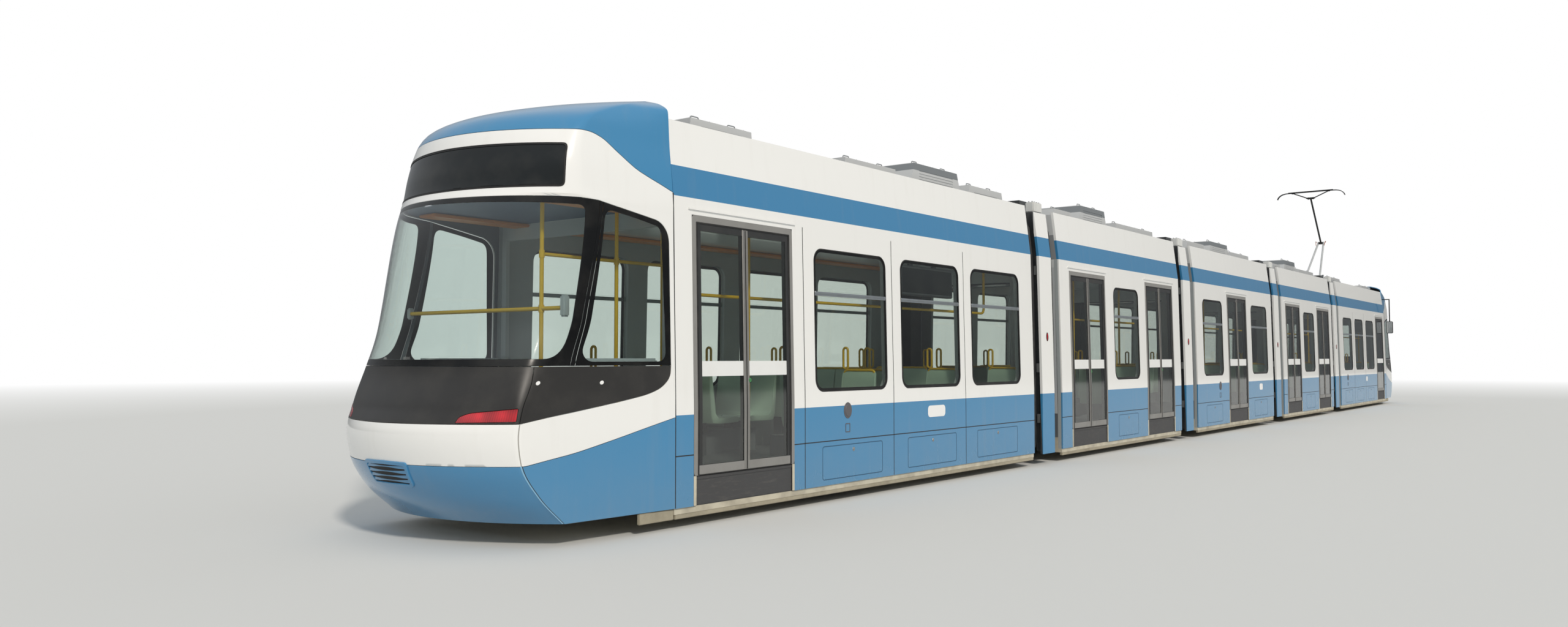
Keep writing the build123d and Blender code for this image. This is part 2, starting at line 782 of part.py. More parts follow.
def make_pivot_clevis(centre, axis_x, step):
    """Two plates with the pivot pin, reaching from the axle frame's cross member to the hinge axis."""
    clevis = Pos(axis_x, 0, (tongue_low + tongue_high) / 2) * Cylinder(
        pivot_pin, tongue_high - tongue_low + 2 * (pivot_gap + pivot_plate))
    for low in (tongue_low - pivot_gap - pivot_plate, tongue_high + pivot_gap):
        near, far = sorted((centre + step * 175, axis_x))
        clevis += block(near, far, -pivot_eye, pivot_eye, low, low + pivot_plate)
        clevis += Pos(axis_x, 0, low + pivot_plate / 2) * Cylinder(pivot_eye, pivot_plate)
    return clevis


def make_axle_frame(x):
    """Inner frame of one axle: two beams with axle boxes, and two cross members."""
    frame = None
    for s in (-1, 1):
        low, high = sorted((s * beam_in, s * beam_out))
        beam = block(x - 230, x + 230, low, high, beam_low, beam_low + 95)
        beam += block(x - 80, x + 80, low, high, beam_low, axle_box_high)
        frame = beam if frame is None else frame + beam
    member_low = tongue_low - pivot_gap - pivot_plate
    member_high = tongue_high + pivot_gap + pivot_plate
    for dx in (-200, 200):
        frame += block(x + dx - 28, x + dx + 28, -beam_in - 5, beam_in + 5, member_low, member_high)
    bore = Cylinder(journal_radius + bearing_gap, 2 * beam_out + 20)
    frame -= Pos(x, 0, axle_height) * Rot(90, 0, 0) * bore
    return frame


def make_wheelset(x):
    """Axle with two flanged wheels, turned from one outline of (radius, y)."""
    inside = back_to_back / 2
    outside = inside + tyre_width
    tread = wheel_radius
    web_in, web_out = inside + 38, outside - 35
    hub_in = inside - wheel_room + 6
    rim = tread - 55
    tip = tread + flange
    half = [
        (axle_radius, beam_in - 10), (journal_radius, beam_in - 10), (journal_radius, hub_in),
        (hub_radius, hub_in), (hub_radius, web_in), (rim, web_in), (rim, inside), (tip - 4, inside),
        (tip, inside + 14), (tip - 6, inside + 22), (tread, inside + 34), (tread - 3, outside),
        (rim, outside), (rim, web_out), (hub_radius, web_out), (hub_radius, outside + 10), (0, outside + 10),
    ]
    points = [(0, -outside - 10)] + [(r, -y) for r, y in reversed(half[:-1])] + half
    turned = revolve(make_face(Polyline(*points, close=True)), axis=Axis.Y)
    return Pos(x, 0, axle_height) * turned


def make_end_gear(x):
    """Axle frame under an end section, with four posts up to the floor."""
    frame = make_axle_frame(x)
    for s in (-1, 1):
        low, high = sorted((s * beam_in, s * beam_out))
        for dx in (-1, 1):
            post_low, post_high = sorted((x + dx * 130, x + dx * 230))
            frame += block(post_low, post_high, low, high, beam_low + 10, floor_under)
    return frame


def make_bellows(centre):
    """Two folded rubber hoods, one on each side of a portal, as arches with folds."""
    hoods = []
    for step in (-1, 1):
        near, far = centre + step * portal_half, centre + step * portal_gap / 2
        low, high = sorted((near, far))
        pitch = (high - low) / (2 * bellows_folds)
        hood = None
        for i in range(2 * bellows_folds):
            out = bellows_out if i % 2 else bellows_out - bellows_fold * 2
            top = roof_edge - 90 - (0 if i % 2 else bellows_fold * 2)
            slab = hood_slab(low + i * pitch, low + (i + 1) * pitch, out, top)
            hood = slab if hood is None else hood + slab
        hoods.append(hood)
    return hoods


def hood_slab(x0, x1, out, top):
    """One fold of a hood: an arch round the gangway, open below between the floor edges."""
    floor_edge, sill = 640, floor_top - 12
    foot, foot_half = 200, gangway_half + 60
    inner = [
        (floor_edge, floor_under), (floor_edge, sill), (gangway_half, sill), (gangway_half, gangway_high),
    ]
    outer = [(out - 60, top), (out, ceiling), (out, foot), (foot_half, foot), (foot_half, floor_under)]
    left = [(-y, z) for y, z in inner]
    right = [(y, z) for y, z in reversed(inner)]
    return along_x(left + right + list(reversed(outer)) + [(-y, z) for y, z in outer], x0, x1)


# Pantograph

def pantograph_points():
    """Side view (x, z) of the base pivot, the knee and the head pivot."""
    base_x = module_places()[-1][1] + base_from_rear
    knee = (base_x + knee_ahead, base_pivot_high + knee_above)
    return (base_x, base_pivot_high), knee, (base_x - head_behind, base_pivot_high + head_above)


def bar(a, b, radius, y=0):
    """Round bar between two points of the side view."""
    start, end = Vector(a[0], y, a[1]), Vector(b[0], y, b[1])
    length = (end - start).length
    plane = Plane(origin=start, z_dir=(end - start).normalized())
    return extrude(plane * Circle(radius), amount=length)


def cross_tube(x, z, radius, half):
    return Pos(x, 0, z) * Rot(90, 0, 0) * Cylinder(radius, 2 * half)


def leaning_tube(x, z, y, x1, z1, y1, radius):
    foot, tip = Vector(x, y, z), Vector(x1, y1, z1)
    plane = Plane(origin=foot, z_dir=(tip - foot).normalized())
    return extrude(plane * Circle(radius), amount=(tip - foot).length)


def make_pantograph_lower():
    """Two tubes that close in from the base shaft to the ears of the knee."""
    base_pivot, elbow, head_pivot = pantograph_points()
    knee_out = knee_half + pan_gap
    arm = cross_tube(*base_pivot, 40, base_tube_half)
    arm += cross_tube(*base_pivot, 20, base_tube_half + pan_gap + ear + 4)
    for s in (-1, 1):
        arm += leaning_tube(*base_pivot, s * 190, *elbow, s * (knee_out + ear / 2), arm_tube)
        arm += Pos(elbow[0], s * (knee_out + ear / 2), elbow[1]) * Rot(90, 0, 0) * Cylinder(40, ear)
    arm -= cross_tube(*elbow, 60, knee_out)
    arm += cross_tube(*elbow, pan_pin, knee_out + 5)
    return arm


def make_pantograph_upper():
    """Single tube between the knee's barrel and the barrel that carries the head."""
    base_pivot, elbow, head_pivot = pantograph_points()
    arm = bar(elbow, head_pivot, upper_tube)
    arm += cross_tube(*elbow, 36, knee_half)
    arm += cross_tube(*head_pivot, 30, knee_half)
    arm -= cross_tube(*elbow, pan_pin + pin_gap, knee_half + 10)
    arm -= cross_tube(*head_pivot, pan_pin + pin_gap, knee_half + 10)
    return arm


def make_pantograph_head():
    """Collector with drooping horns, on two struts from its barrel."""
    x, z = pantograph_points()[2]
    top, under, tip = z + head_rise, z + head_rise - 30, z + head_rise - 190
    flat = head_strip_half
    edges = [Line((-flat, top), (flat, top)), Line((-flat, under), (flat, under))]
    for s in (-1, 1):
        edges += [
            ThreePointArc((s * flat, top), (s * (flat + 190), top - 48), (s * head_half, tip)),
            Line((s * head_half, tip), (s * (head_half - 28), tip)),
            ThreePointArc((s * (head_half - 28), tip), (s * (flat + 165), top - 75), (s * flat, under)),
        ]
    plane = Plane(origin=(x - 45, 0, 0), x_dir=(0, 1, 0), z_dir=(1, 0, 0))
    head = extrude(plane * make_face(edges), amount=90)
    eye_y = knee_half + pan_gap + ear / 2
    for s in (-1, 1):
        head += leaning_tube(x, z, s * eye_y, x, top - 20, s * 480, 16)
        head += Pos(x, s * eye_y, z) * Rot(90, 0, 0) * Cylinder(34, ear)
    head -= cross_tube(x, z, 60, knee_half + pan_gap)
    head += cross_tube(x, z, pan_pin, knee_half + pan_gap + 5)
    return head


def make_pantograph_base():
    """Rectangular frame on four insulators, with two bearing ears, on the roof platform."""
    x, z = pantograph_points()[0]
    low = z - base_bar_below
    base = None
    for s in (-1, 1):
        rail_low, rail_high = sorted((s * base_rail_in, s * base_rail_out))
        rail = block(x - 250, x + 1500, rail_low, rail_high, low, low + base_bar)
        base = rail if base is None else base + rail
        ear_low = base_tube_half + pan_gap
        ear_block = block(x - 45, x + 45, *sorted((s * ear_low, s * (ear_low + ear))), low, z + 45)
        base += ear_block - cross_tube(x, z, 20 + pin_gap, 400)
        for dx in (-200, 1400):
            y = s * (base_rail_in + base_rail_out) / 2
            base += Pos(x + dx, y, (platform_top + low) / 2) * Cylinder(insulator, low - platform_top + 10)
            for i in range(insulator_sheds):
                shed_z = platform_top + (i + 0.7) * (low - platform_top) / insulator_sheds
                base += Pos(x + dx, y, shed_z) * Cone(insulator + 24, insulator, 22)
    for dx in (0, 1400):
        base += block(x + dx - 45, x + dx + 45, -base_rail_out, base_rail_out, low, low + base_bar)
    return base


# Mirrors and cab
mirror_ahead = 120
mirror_arm = 28
mirror_arm_out = 1320
mirror_in, mirror_out = 1215, 1395
mirror_low, mirror_high = 2190, 2562
mirror_deep = 60
mirror_round = 34

# Driver's desk, measured from the joint, and the seat behind it
desk_near, desk_near_half = 900, 950
desk_far, desk_far_half = 1330, 700
desk_low, desk_thick = 900, 170
driver_near, driver_far, driver_half = 150, 600, 250
driver_low, driver_thick, driver_back = 760, 100, 1480


def make_mirrors():
    """Mirror housings on cranked arms, one each side of the cab."""
    pieces = []
    x = module_places()[-1][2] + mirror_ahead
    z, joint_half, corner, corner_half, end = HEADER[-1]
    half = mirror_arm / 2
    root = joint_half - (joint_half - corner_half) * (mirror_ahead - half) / corner + slip
    for s in (-1, 1):
        low, high = sorted((s * root, s * mirror_arm_out))
        arm = block(x - half, x + half, low, high, z + slip, z + mirror_arm)
        low, high = sorted((s * (mirror_arm_out - mirror_arm), s * mirror_arm_out))
        arm += block(x - half, x + half, low, high, mirror_high - 2, z + mirror_arm)
        low, high = sorted((s * mirror_in, s * mirror_out))
        case = block(x - mirror_deep / 2, x + mirror_deep / 2, low, high, mirror_low, mirror_high)
        arm += fillet(case.edges().filter_by(Axis.X), mirror_round)
        pieces.append(arm)
    return pieces


def make_cab():
    """Driver's desk, seat and the wall behind the cab."""
    joint = module_places()[-1][2]
    near, far = joint + desk_near, joint + desk_far
    desk_face = make_face(Polyline((near, -desk_near_half), (far, -desk_far_half), (far, desk_far_half),
                                   (near, desk_near_half), close=True))
    desk = Pos(0, 0, desk_low) * extrude(desk_face, amount=desk_thick)
    desk = fillet(desk.edges().filter_by(Axis.Z), 50)
    desk += block(near + 60, near + 200, -desk_far_half, desk_far_half, floor_top, desk_low + 5)
    low, high = driver_low, driver_low + driver_thick
    rear, front = joint + driver_near, joint + driver_far
    cushion = block(rear, front, -driver_half, driver_half, low, high)
    back = block(rear - 40, rear + 40, -driver_half + 10, driver_half - 10, low, driver_back)
    seat = fillet(cushion.edges().filter_by(Axis.Z), 60) + fillet(back.edges().filter_by(Axis.X), 60)
    seat += Pos(joint + 380, 0, (floor_top + low) / 2) * Cylinder(70, low - floor_top)
    partition = make_hoop(joint - hoop - 40, joint - hoop, 350, gangway_high)
    return [desk, seat, partition]


def main():
    os.makedirs("parts", exist_ok=True)
    places = module_places()
    for name, x0, x1 in places:
        save(name + "_walls", make_walls(name, x0, x1))
        roof = make_roof(name, x0, x1)
        if name == MODULES[-1][0]:
            roof += make_pantograph_base()
        save(name + "_roof", roof)
        save(name + "_frame", make_frame(name, x0, x1))
        save(name + "_glass", make_glass(name, x0, x1))
        save(name + "_doors", make_doors(name, x0, x1))
        save(name + "_seats", make_interior(name, x0))
    shell, black, glazing, lights = make_nose()
    for end, joint, direction in (("rear", places[0][1], -1), ("front", places[-1][2], 1)):
        save(end + "_nose_shell", place_nose(shell, joint, direction))
        save(end + "_nose_panel", place_nose(black, joint, direction))
        save(end + "_nose_glass", [place_nose(piece, joint, direction) for piece in glazing])
        save(end + "_lamps", [place_nose(piece, joint, direction) for piece in lights])
    for i, centre in enumerate(portal_centres(), 1):
        save("portal_%d" % i, make_portal(centre))
        save("bellows_%d" % i, make_bellows(centre))
    for i, x in enumerate(axle_x(), 1):
        save("wheelset_%d" % i, make_wheelset(x))
    save("rear_axle_frame", make_end_gear(axle_x()[0]))
    save("front_axle_frame", make_end_gear(axle_x()[-1]))
    save("pantograph_lower_arm", make_pantograph_lower())
    save("pantograph_upper_arm", make_pantograph_upper())
    save("pantograph_head", make_pantograph_head())
    save("mirrors", make_mirrors())
    save("cab", make_cab())


main()
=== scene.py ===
import bpy
import bmesh
import math
import numpy as np
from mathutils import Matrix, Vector
from mathutils.kdtree import KDTree
from mathutils.geometry import delaunay_2d_cdt


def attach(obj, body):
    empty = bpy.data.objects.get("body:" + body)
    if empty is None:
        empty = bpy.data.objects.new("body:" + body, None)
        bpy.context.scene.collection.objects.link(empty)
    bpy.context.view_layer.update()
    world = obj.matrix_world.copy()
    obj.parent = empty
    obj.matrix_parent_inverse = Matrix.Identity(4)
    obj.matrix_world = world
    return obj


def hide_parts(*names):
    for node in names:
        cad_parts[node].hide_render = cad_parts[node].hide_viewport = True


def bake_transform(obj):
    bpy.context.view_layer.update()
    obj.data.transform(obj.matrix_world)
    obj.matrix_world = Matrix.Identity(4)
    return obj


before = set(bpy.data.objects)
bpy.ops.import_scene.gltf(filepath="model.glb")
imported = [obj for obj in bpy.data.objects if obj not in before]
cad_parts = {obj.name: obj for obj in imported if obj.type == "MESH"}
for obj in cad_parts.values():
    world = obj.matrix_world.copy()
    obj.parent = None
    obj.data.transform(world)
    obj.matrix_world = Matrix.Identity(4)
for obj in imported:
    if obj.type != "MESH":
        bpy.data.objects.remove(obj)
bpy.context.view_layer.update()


# Studio: the tram stands on a pale seamless floor in even daylight, seen from beside its tail at eye height.
# The paint on the floor fades into the white of the backdrop well away from the wheels.
def linear(code):
    """Linear colour from an sRGB hex value."""
    parts = [int(code[i:i + 2], 16) / 255 for i in (1, 3, 5)]
    return tuple(c / 12.92 if c <= 0.04045 else ((c + 0.055) / 1.055) ** 2.4 for c in parts) + (1.0,)


def add_node(tree, kind, inputs=None, **settings):
    """Adds a shader node. An input is a value, a link as (node, output), or a node for its first output."""
    made = tree.nodes.new("ShaderNode" + kind)
    for setting, value in settings.items():
        setattr(made, setting, value)
    for socket, value in (inputs or {}).items():
        if isinstance(value, bpy.types.Node):
            tree.links.new(value.outputs[0], made.inputs[socket])
        elif isinstance(value, tuple) and isinstance(value[0], bpy.types.Node):
            tree.links.new(value[0].outputs[value[1]], made.inputs[socket])
        else:
            made.inputs[socket].default_value = value
    return made


def new_material(name):
    """An empty node material and its tree."""
    material = bpy.data.materials.new(name)
    material.use_nodes = True
    material.node_tree.nodes.clear()
    return material, material.node_tree


def finish_material(tree, shader):
    add_node(tree, "OutputMaterial", {"Surface": shader})


def new_piece(name, points, faces, material):
    """A mesh object from points in the row frame."""
    mesh = bpy.data.meshes.new(name)
    mesh.from_pydata([tuple(p) for p in points], [], faces)
    mesh.validate()
    mesh.update()
    mesh.materials.append(material)
    piece = bpy.data.objects.new(name, mesh)
    bpy.context.scene.collection.objects.link(piece)
    return piece


def floor_paint():
    """Matt floor that fades into white where it is seen from far away."""
    material, tree = new_material("pale_floor_paint")
    place = add_node(tree, "NewGeometry")
    flat = add_node(tree, "VectorMath", {0: (place, "Position"), 1: (1, 1, 0)}, operation="MULTIPLY")
    away = add_node(tree, "VectorMath", {0: (flat, "Vector")}, operation="LENGTH")
    fade_from, fade_to = 24.0, 60.0
    fade = add_node(tree, "MapRange", {"Value": (away, "Value"), "From Min": fade_from, "From Max": fade_to})
    sight = add_node(tree, "LightPath")
    amount = add_node(tree, "Math", {0: fade, 1: (sight, "Is Camera Ray")}, operation="MULTIPLY")
    matt = add_node(tree, "BsdfDiffuse", {"Color": linear("#D9DAD8")})
    white = add_node(tree, "Emission", {"Color": (1, 1, 1, 1), "Strength": 1.0})
    finish_material(tree, add_node(tree, "MixShader", {0: amount, 1: matt, 2: white}))
    return material


floor_half = 150
floor_corners = [(x * floor_half, y * floor_half, 0) for x, y in ((-1, -1), (1, -1), (1, 1), (-1, 1))]
floor = new_piece("studio_floor", floor_corners, [(0, 1, 2, 3)], floor_paint())

world = bpy.data.worlds.new("soft_daylight")
bpy.context.scene.world = world
world.use_nodes = True
sky = world.node_tree
sky.nodes.clear()
rays = add_node(sky, "LightPath")
direct = add_node(sky, "Math", {0: (rays, "Is Camera Ray"), 1: (rays, "Is Transmission Ray")},
                  operation="MAXIMUM")
heading = add_node(sky, "TexCoord")
rise = add_node(sky, "SeparateXYZ", {"Vector": (heading, "Generated")})
# Glass and lacquer mirror a surround that is darker towards the horizon than overhead.
mirrored_sky = add_node(sky, "MapRange",
                        {"Value": (rise, "Z"), "From Min": 0.02, "From Max": 0.55, "To Min": 0.13,
                         "To Max": 0.72})
strength = add_node(sky, "Mix", {0: (rays, "Is Glossy Ray"), 2: 0.62, 3: mirrored_sky})
lit = add_node(sky, "Background", {"Color": linear("#EEF3F8"), "Strength": strength})
white = add_node(sky, "Background", {"Color": (1, 1, 1, 1), "Strength": 1.0})
both = add_node(sky, "MixShader", {0: direct, 1: lit, 2: white})
add_node(sky, "OutputWorld", {"Surface": both})

sun_data = bpy.data.lights.new("sun", "SUN")
sun_data.energy = 1.9
sun_data.angle = math.radians(6)
sun_data.color = linear("#FFF6EA")[:3]
sun = bpy.data.objects.new("sun", sun_data)
sun.rotation_euler = (math.radians(52), 0, math.radians(-28))
bpy.context.scene.collection.objects.link(sun)

image_width = 2560
focal_px = 1825
camera_place = (-22.866, -7.651, 1.438)
camera_yaw, camera_pitch = math.radians(37.7), math.radians(2.26)
camera_data = bpy.data.cameras.new("camera")
camera_data.sensor_width = 36
camera_data.lens = 36 * focal_px / image_width
camera_data.clip_end = 500
camera = bpy.data.objects.new("camera", camera_data)
camera.location = camera_place
camera.rotation_euler = (math.pi / 2 + camera_pitch, 0, camera_yaw - math.pi / 2)
bpy.context.scene.collection.objects.link(camera)
bpy.context.scene.camera = camera
bpy.context.scene.view_settings.view_transform = "Standard"


# Side walls: sheet panels glued and riveted to a welded body, sprayed white and blue.
# The lacquer is smooth and glossy, with a faint orange-peel ripple and a film of dust low down.
MODULES = ["module_%d" % k for k in range(1, 6)]
body_white, body_blue, band_blue = "#F1F1EE", "#3E86B4", "#3A80AE"
waist, band_low, band_high = 0.938, 2.812, 3.066
colour_reach = 4.0
BODY_BANDS = [(0, body_blue), (waist, body_white), (band_low, band_blue), (band_high, body_white)]


def height_bands(tree, height, bands):
    """Paint in level bands with sharp edges: (height, colour) from below."""
    paint = add_node(tree, "ValToRGB", {"Fac": height})
    ramp = paint.color_ramp
    ramp.interpolation = "CONSTANT"
    ramp.elements.remove(ramp.elements[1])
    for i, (low, code) in enumerate(bands):
        stop = ramp.elements[0] if i == 0 else ramp.elements.new(low / colour_reach)
        stop.color = linear(code)
    return paint


def outer_skin(tree, parts, depth):
    """1 on the outer skin of the body side, which leans in at two heights, and 0 deeper than a depth."""
    upper_lean, upper_start, window_lean, window_start, skirt_half = -0.1192, 1.4992, -0.01987, 1.21987, 1.2
    across = add_node(tree, "Math", {0: (parts, "Y")}, operation="ABSOLUTE")
    upper = add_node(tree, "Math", {0: (parts, "Z"), 1: upper_lean, 2: upper_start}, operation="MULTIPLY_ADD")
    window_part = add_node(tree, "Math", {0: (parts, "Z"), 1: window_lean, 2: window_start},
                           operation="MULTIPLY_ADD")
    lean = add_node(tree, "Math", {0: upper, 1: window_part}, operation="MINIMUM")
    side = add_node(tree, "Math", {0: lean, 1: skirt_half}, operation="MINIMUM")
    out = add_node(tree, "Math", {0: across, 1: side}, operation="SUBTRACT")
    return add_node(tree, "Math", {0: out, 1: -depth}, operation="GREATER_THAN")


def coach_lacquer(name, bands, dust=0.35, roughness=0.24, lining=None, skin=0.02):
    """Sprayed two-pack lacquer in bands from below, and a lining's own bands on the faces inside the skin."""
    material, tree = new_material(name)
    place = add_node(tree, "TexCoord"), "Object"
    parts = add_node(tree, "SeparateXYZ", {"Vector": place})
    height = add_node(tree, "Math", {0: (parts, "Z"), 1: colour_reach}, operation="DIVIDE")
    paint = height_bands(tree, height, bands)
    if lining:
        inner = height_bands(tree, height, lining)
        both_paints = add_node(tree, "Mix", {0: outer_skin(tree, parts, skin), 6: inner, 7: paint},
                               data_type="RGBA")
        paint = (both_paints, 2)
    patches = add_node(tree, "TexNoise", {"Vector": place, "Scale": 1.7, "Detail": 6.0, "Roughness": 0.6})
    streaks = add_node(tree, "Mapping", {"Vector": place, "Scale": (9, 9, 0.7)})
    runs = add_node(tree, "TexNoise", {"Vector": (streaks, "Vector"), "Scale": 1.0, "Detail": 5.0})
    low_down = add_node(tree, "MapRange", {"Value": (parts, "Z"), "From Min": 0.9, "From Max": 0.15})
    film = add_node(tree, "Math", {0: low_down, 1: patches}, operation="MULTIPLY")
    run_film = add_node(tree, "MapRange", {"Value": runs, "From Min": 0.55, "From Max": 0.85, "To Max": 0.07})
    dusty = add_node(tree, "Math", {0: film, 1: dust, 2: run_film}, operation="MULTIPLY_ADD")
    mixed = add_node(tree, "Mix", {0: dusty, 6: paint, 7: linear("#A89F8C")}, data_type="RGBA")
    rough = add_node(tree, "MapRange", {"Value": dusty, "To Min": roughness, "To Max": 0.6})
    # Real orange peel is finer than the picture shows, so it is drawn 12 mm wide.
    peel_size = 0.012
    peel = add_node(tree, "TexNoise", {"Vector": place, "Scale": 1 / peel_size, "Detail": 1.0})
    sheet_wave = add_node(tree, "TexNoise", {"Vector": place, "Scale": 1.3, "Detail": 0.0})
    ripple = add_node(tree, "Bump", {"Height": peel, "Strength": 0.05, "Distance": 0.0008})
    wavy = add_node(tree, "Bump",
                    {"Height": sheet_wave, "Normal": ripple, "Strength": 0.25, "Distance": 0.006})
    shader = add_node(tree, "BsdfPrincipled",
                      {"Base Color": (mixed, 2), "Roughness": rough, "Coat Weight": 0.5,
                       "Coat Roughness": 0.05, "Normal": wavy})
    finish_material(tree, shader)
    return material


def give(node, material):
    """Puts one material on a CAD node's object."""
    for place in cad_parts[node].material_slots:
        place.material = material


side_lacquer = coach_lacquer("side_lacquer", BODY_BANDS, dust=0.2, lining=[(0, "#A9AFB0")])
for name in MODULES:
    give(name + "_walls", side_lacquer)


# Roof: a flat aluminium deck between tall edge fairings of moulded laminate, with equipment cases bolted to
# it. The fairings are lacquered like the sides, the deck and cases are satin grey and weathered.
fairing_top, case_top = 3.48, 3.636
ROOF_BANDS = [(0, "#D8D8D4"), (band_low, band_blue), (band_high, body_white), (fairing_top, "#C9CBCB"),
              (case_top, "#7D8285")]
ROOF_LINING = [(0, "#D3D6D6"), (band_low, "#8F9294"), (3.15, "#C9CBCB"), (case_top, "#7D8285")]
roof_lacquer = coach_lacquer("roof_lacquer", ROOF_BANDS, dust=0.1, skin=0.035, lining=ROOF_LINING)
for name in MODULES:
    give(name + "_roof", roof_lacquer)


# Frame: welded hollow sections with the floor plates, painted cream outside along the sill.
# Inside, the floor is a speckled dark grey rubber sheet.
sill_cream = "#C9C2AE"


def frame_finish():
    """Cream paint up to the sill's top, the floor sheet above it, and grey paint over the wheel boxes."""
    material, tree = new_material("frame_paint_and_floor_sheet")
    place = add_node(tree, "TexCoord"), "Object"
    parts = add_node(tree, "SeparateXYZ", {"Vector": place})
    sheet_from, boxes_from = 0.33, 0.66
    sheet = add_node(tree, "Math", {0: (parts, "Z"), 1: sheet_from}, operation="GREATER_THAN")
    box = add_node(tree, "Math", {0: (parts, "Z"), 1: boxes_from}, operation="GREATER_THAN")
    speck = add_node(tree, "TexNoise", {"Vector": place, "Scale": 260.0, "Detail": 1.0})
    rubber = add_node(tree, "Mix", {0: speck, 6: linear("#4C5054"), 7: linear("#75797C")}, data_type="RGBA")
    grime = add_node(tree, "TexNoise", {"Vector": place, "Scale": 5.0, "Detail": 8.0})
    share = add_node(tree, "MapRange", {"Value": grime, "From Min": 0.4, "From Max": 0.75, "To Max": 0.6})
    cream = add_node(tree, "Mix", {0: share, 6: linear(sill_cream), 7: linear("#7D7465")}, data_type="RGBA")
    floor_or_sill = add_node(tree, "Mix", {0: sheet, 6: (cream, 2), 7: (rubber, 2)}, data_type="RGBA")
    colour = add_node(tree, "Mix", {0: box, 6: (floor_or_sill, 2), 7: linear("#B9BDBF")}, data_type="RGBA")
    bump = add_node(tree, "Bump", {"Height": grime, "Strength": 0.2, "Distance": 0.002})
    shader = add_node(tree, "BsdfPrincipled", {"Base Color": (colour, 2), "Roughness": 0.55, "Normal": bump})
    finish_material(tree, shader)
    return material


floor_and_sill = frame_finish()
for name in MODULES:
    give(name + "_frame", floor_and_sill)


# Windows: toughened panes glued flush into the body, printed black round the edge.
# The lower pane is fixed, and a bar carries a flap that tilts in at the top.
def tinted_glass(name, code):
    """Float glass with a green-grey tint: clear to look through, and its outside mirrors the surroundings."""
    material, tree = new_material(name)
    grazing = add_node(tree, "Fresnel", {"IOR": 1.52})
    face = add_node(tree, "NewGeometry")
    clear = add_node(tree, "BsdfTransparent", {"Color": linear(code)})
    mirror = add_node(tree, "BsdfGlossy", {"Color": (1, 1, 1, 1), "Roughness": 0.05})
    outside = add_node(tree, "Math", {0: 1.0, 1: (face, "Backfacing")}, operation="SUBTRACT")
    share = add_node(tree, "Math", {0: grazing, 1: 1.3, 2: 0.03}, operation="MULTIPLY_ADD")
    seen = add_node(tree, "Math", {0: share, 1: outside}, operation="MULTIPLY")
    finish_material(tree, add_node(tree, "MixShader", {0: seen, 1: clear, 2: mirror}))
    return material


side_glass = tinted_glass("side_glass", "#EDF1EE")
for name in MODULES:
    give(name + "_glass", side_glass)


# Noses: laminate shells with a glazed band, moulded in few large pieces with narrow joints between them.
# White and blue pieces are lacquered, the panel under the glass is satin black. Each is screwed on from
# inside.
NOSE_LEVELS = [
    # height, half width at the joint, corner from the joint, half width there, end from the joint, softness
    (0.176, 1.200, 1.150, 1.130, 1.560, 0.012),
    (0.400, 1.200, 1.385, 1.118, 1.820, 0.012),
    (0.640, 1.200, 1.540, 1.106, 1.960, 0.022),
    (0.860, 1.200, 1.575, 1.102, 2.000, 0.030),
    (1.060, 1.199, 1.540, 1.104, 1.910, 0.050),
    (1.370, 1.193, 1.425, 1.108, 1.780, 0.110),
    (1.760, 1.185, 1.210, 1.118, 1.745, 0.150),
    (2.690, 1.166, 0.975, 1.118, 1.575, 0.160),
    (2.704, 1.166, 1.060, 1.112, 1.547, 0.130),
    (2.960, 1.146, 1.045, 1.092, 1.470, 0.080),
    (3.230, 1.118, 0.960, 1.062, 1.400, 0.060),
    (3.340, 1.111, 0.880, 1.050, 1.320, 0.060),
    (3.440, 1.105, 0.690, 1.030, 1.130, 0.070),
    (3.530, 1.096, 0.450, 1.000, 0.840, 0.090),
    (3.605, 1.000, 0.205, 0.915, 0.520, 0.120),
    (3.660, 0.820, 0.060, 0.720, 0.190, 0.100),
]
nose_joint = 16.0
around = 1.3
REAR, FRONT = -1, 1
NOSE_BODY = {REAR: "module_1", FRONT: "module_5"}
NOSE_NAME = {REAR: "rear", FRONT: "front"}


def level_lengths():
    """Length along the middle of the end up to each level."""
    lengths = [0.0]
    for low, high in zip(NOSE_LEVELS, NOSE_LEVELS[1:]):
        lengths.append(lengths[-1] + math.hypot(high[0] - low[0], high[4] - low[4]))
    return lengths


def monotone_slopes(xs, ys):
    """Slopes of a cubic through the points that never overshoots them."""
    steps = [(ys[i + 1] - ys[i]) / (xs[i + 1] - xs[i]) for i in range(len(xs) - 1)]
    slopes = [steps[0]]
    for before, after in zip(steps, steps[1:]):
        slopes.append(0.0 if before * after <= 0 else 2 * before * after / (before + after))
    return slopes + [steps[-1]]


LENGTHS = level_lengths()
SLOPES = [monotone_slopes(LENGTHS, [row[c] for row in NOSE_LEVELS]) for c in range(6)]


def nose_level(v):
    """Height, half widths, distances and softness of the nose at a length v up its end."""
    i = max(k for k in range(len(LENGTHS) - 1) if k == 0 or LENGTHS[k] <= v)
    span = LENGTHS[i + 1] - LENGTHS[i]
    f = min(max((v - LENGTHS[i]) / span, 0.0), 1.0)
    level = []
    for c in range(6):
        a, b = NOSE_LEVELS[i][c], NOSE_LEVELS[i + 1][c]
        rise_a, rise_b = SLOPES[c][i] * span, SLOPES[c][i + 1] * span
        level.append((2 * f ** 3 - 3 * f ** 2 + 1) * a + (f ** 3 - 2 * f ** 2 + f) * rise_a
                     + (3 * f ** 2 - 2 * f ** 3) * b + (f ** 3 - f ** 2) * rise_b)
    return level


def length_at(z):
    """Length up the end at a height."""
    low, high = LENGTHS[0], LENGTHS[-1]
    for _ in range(40):
        middle = (low + high) / 2
        low, high = (middle, high) if nose_level(middle)[0] < z else (low, middle)
    return (low + high) / 2


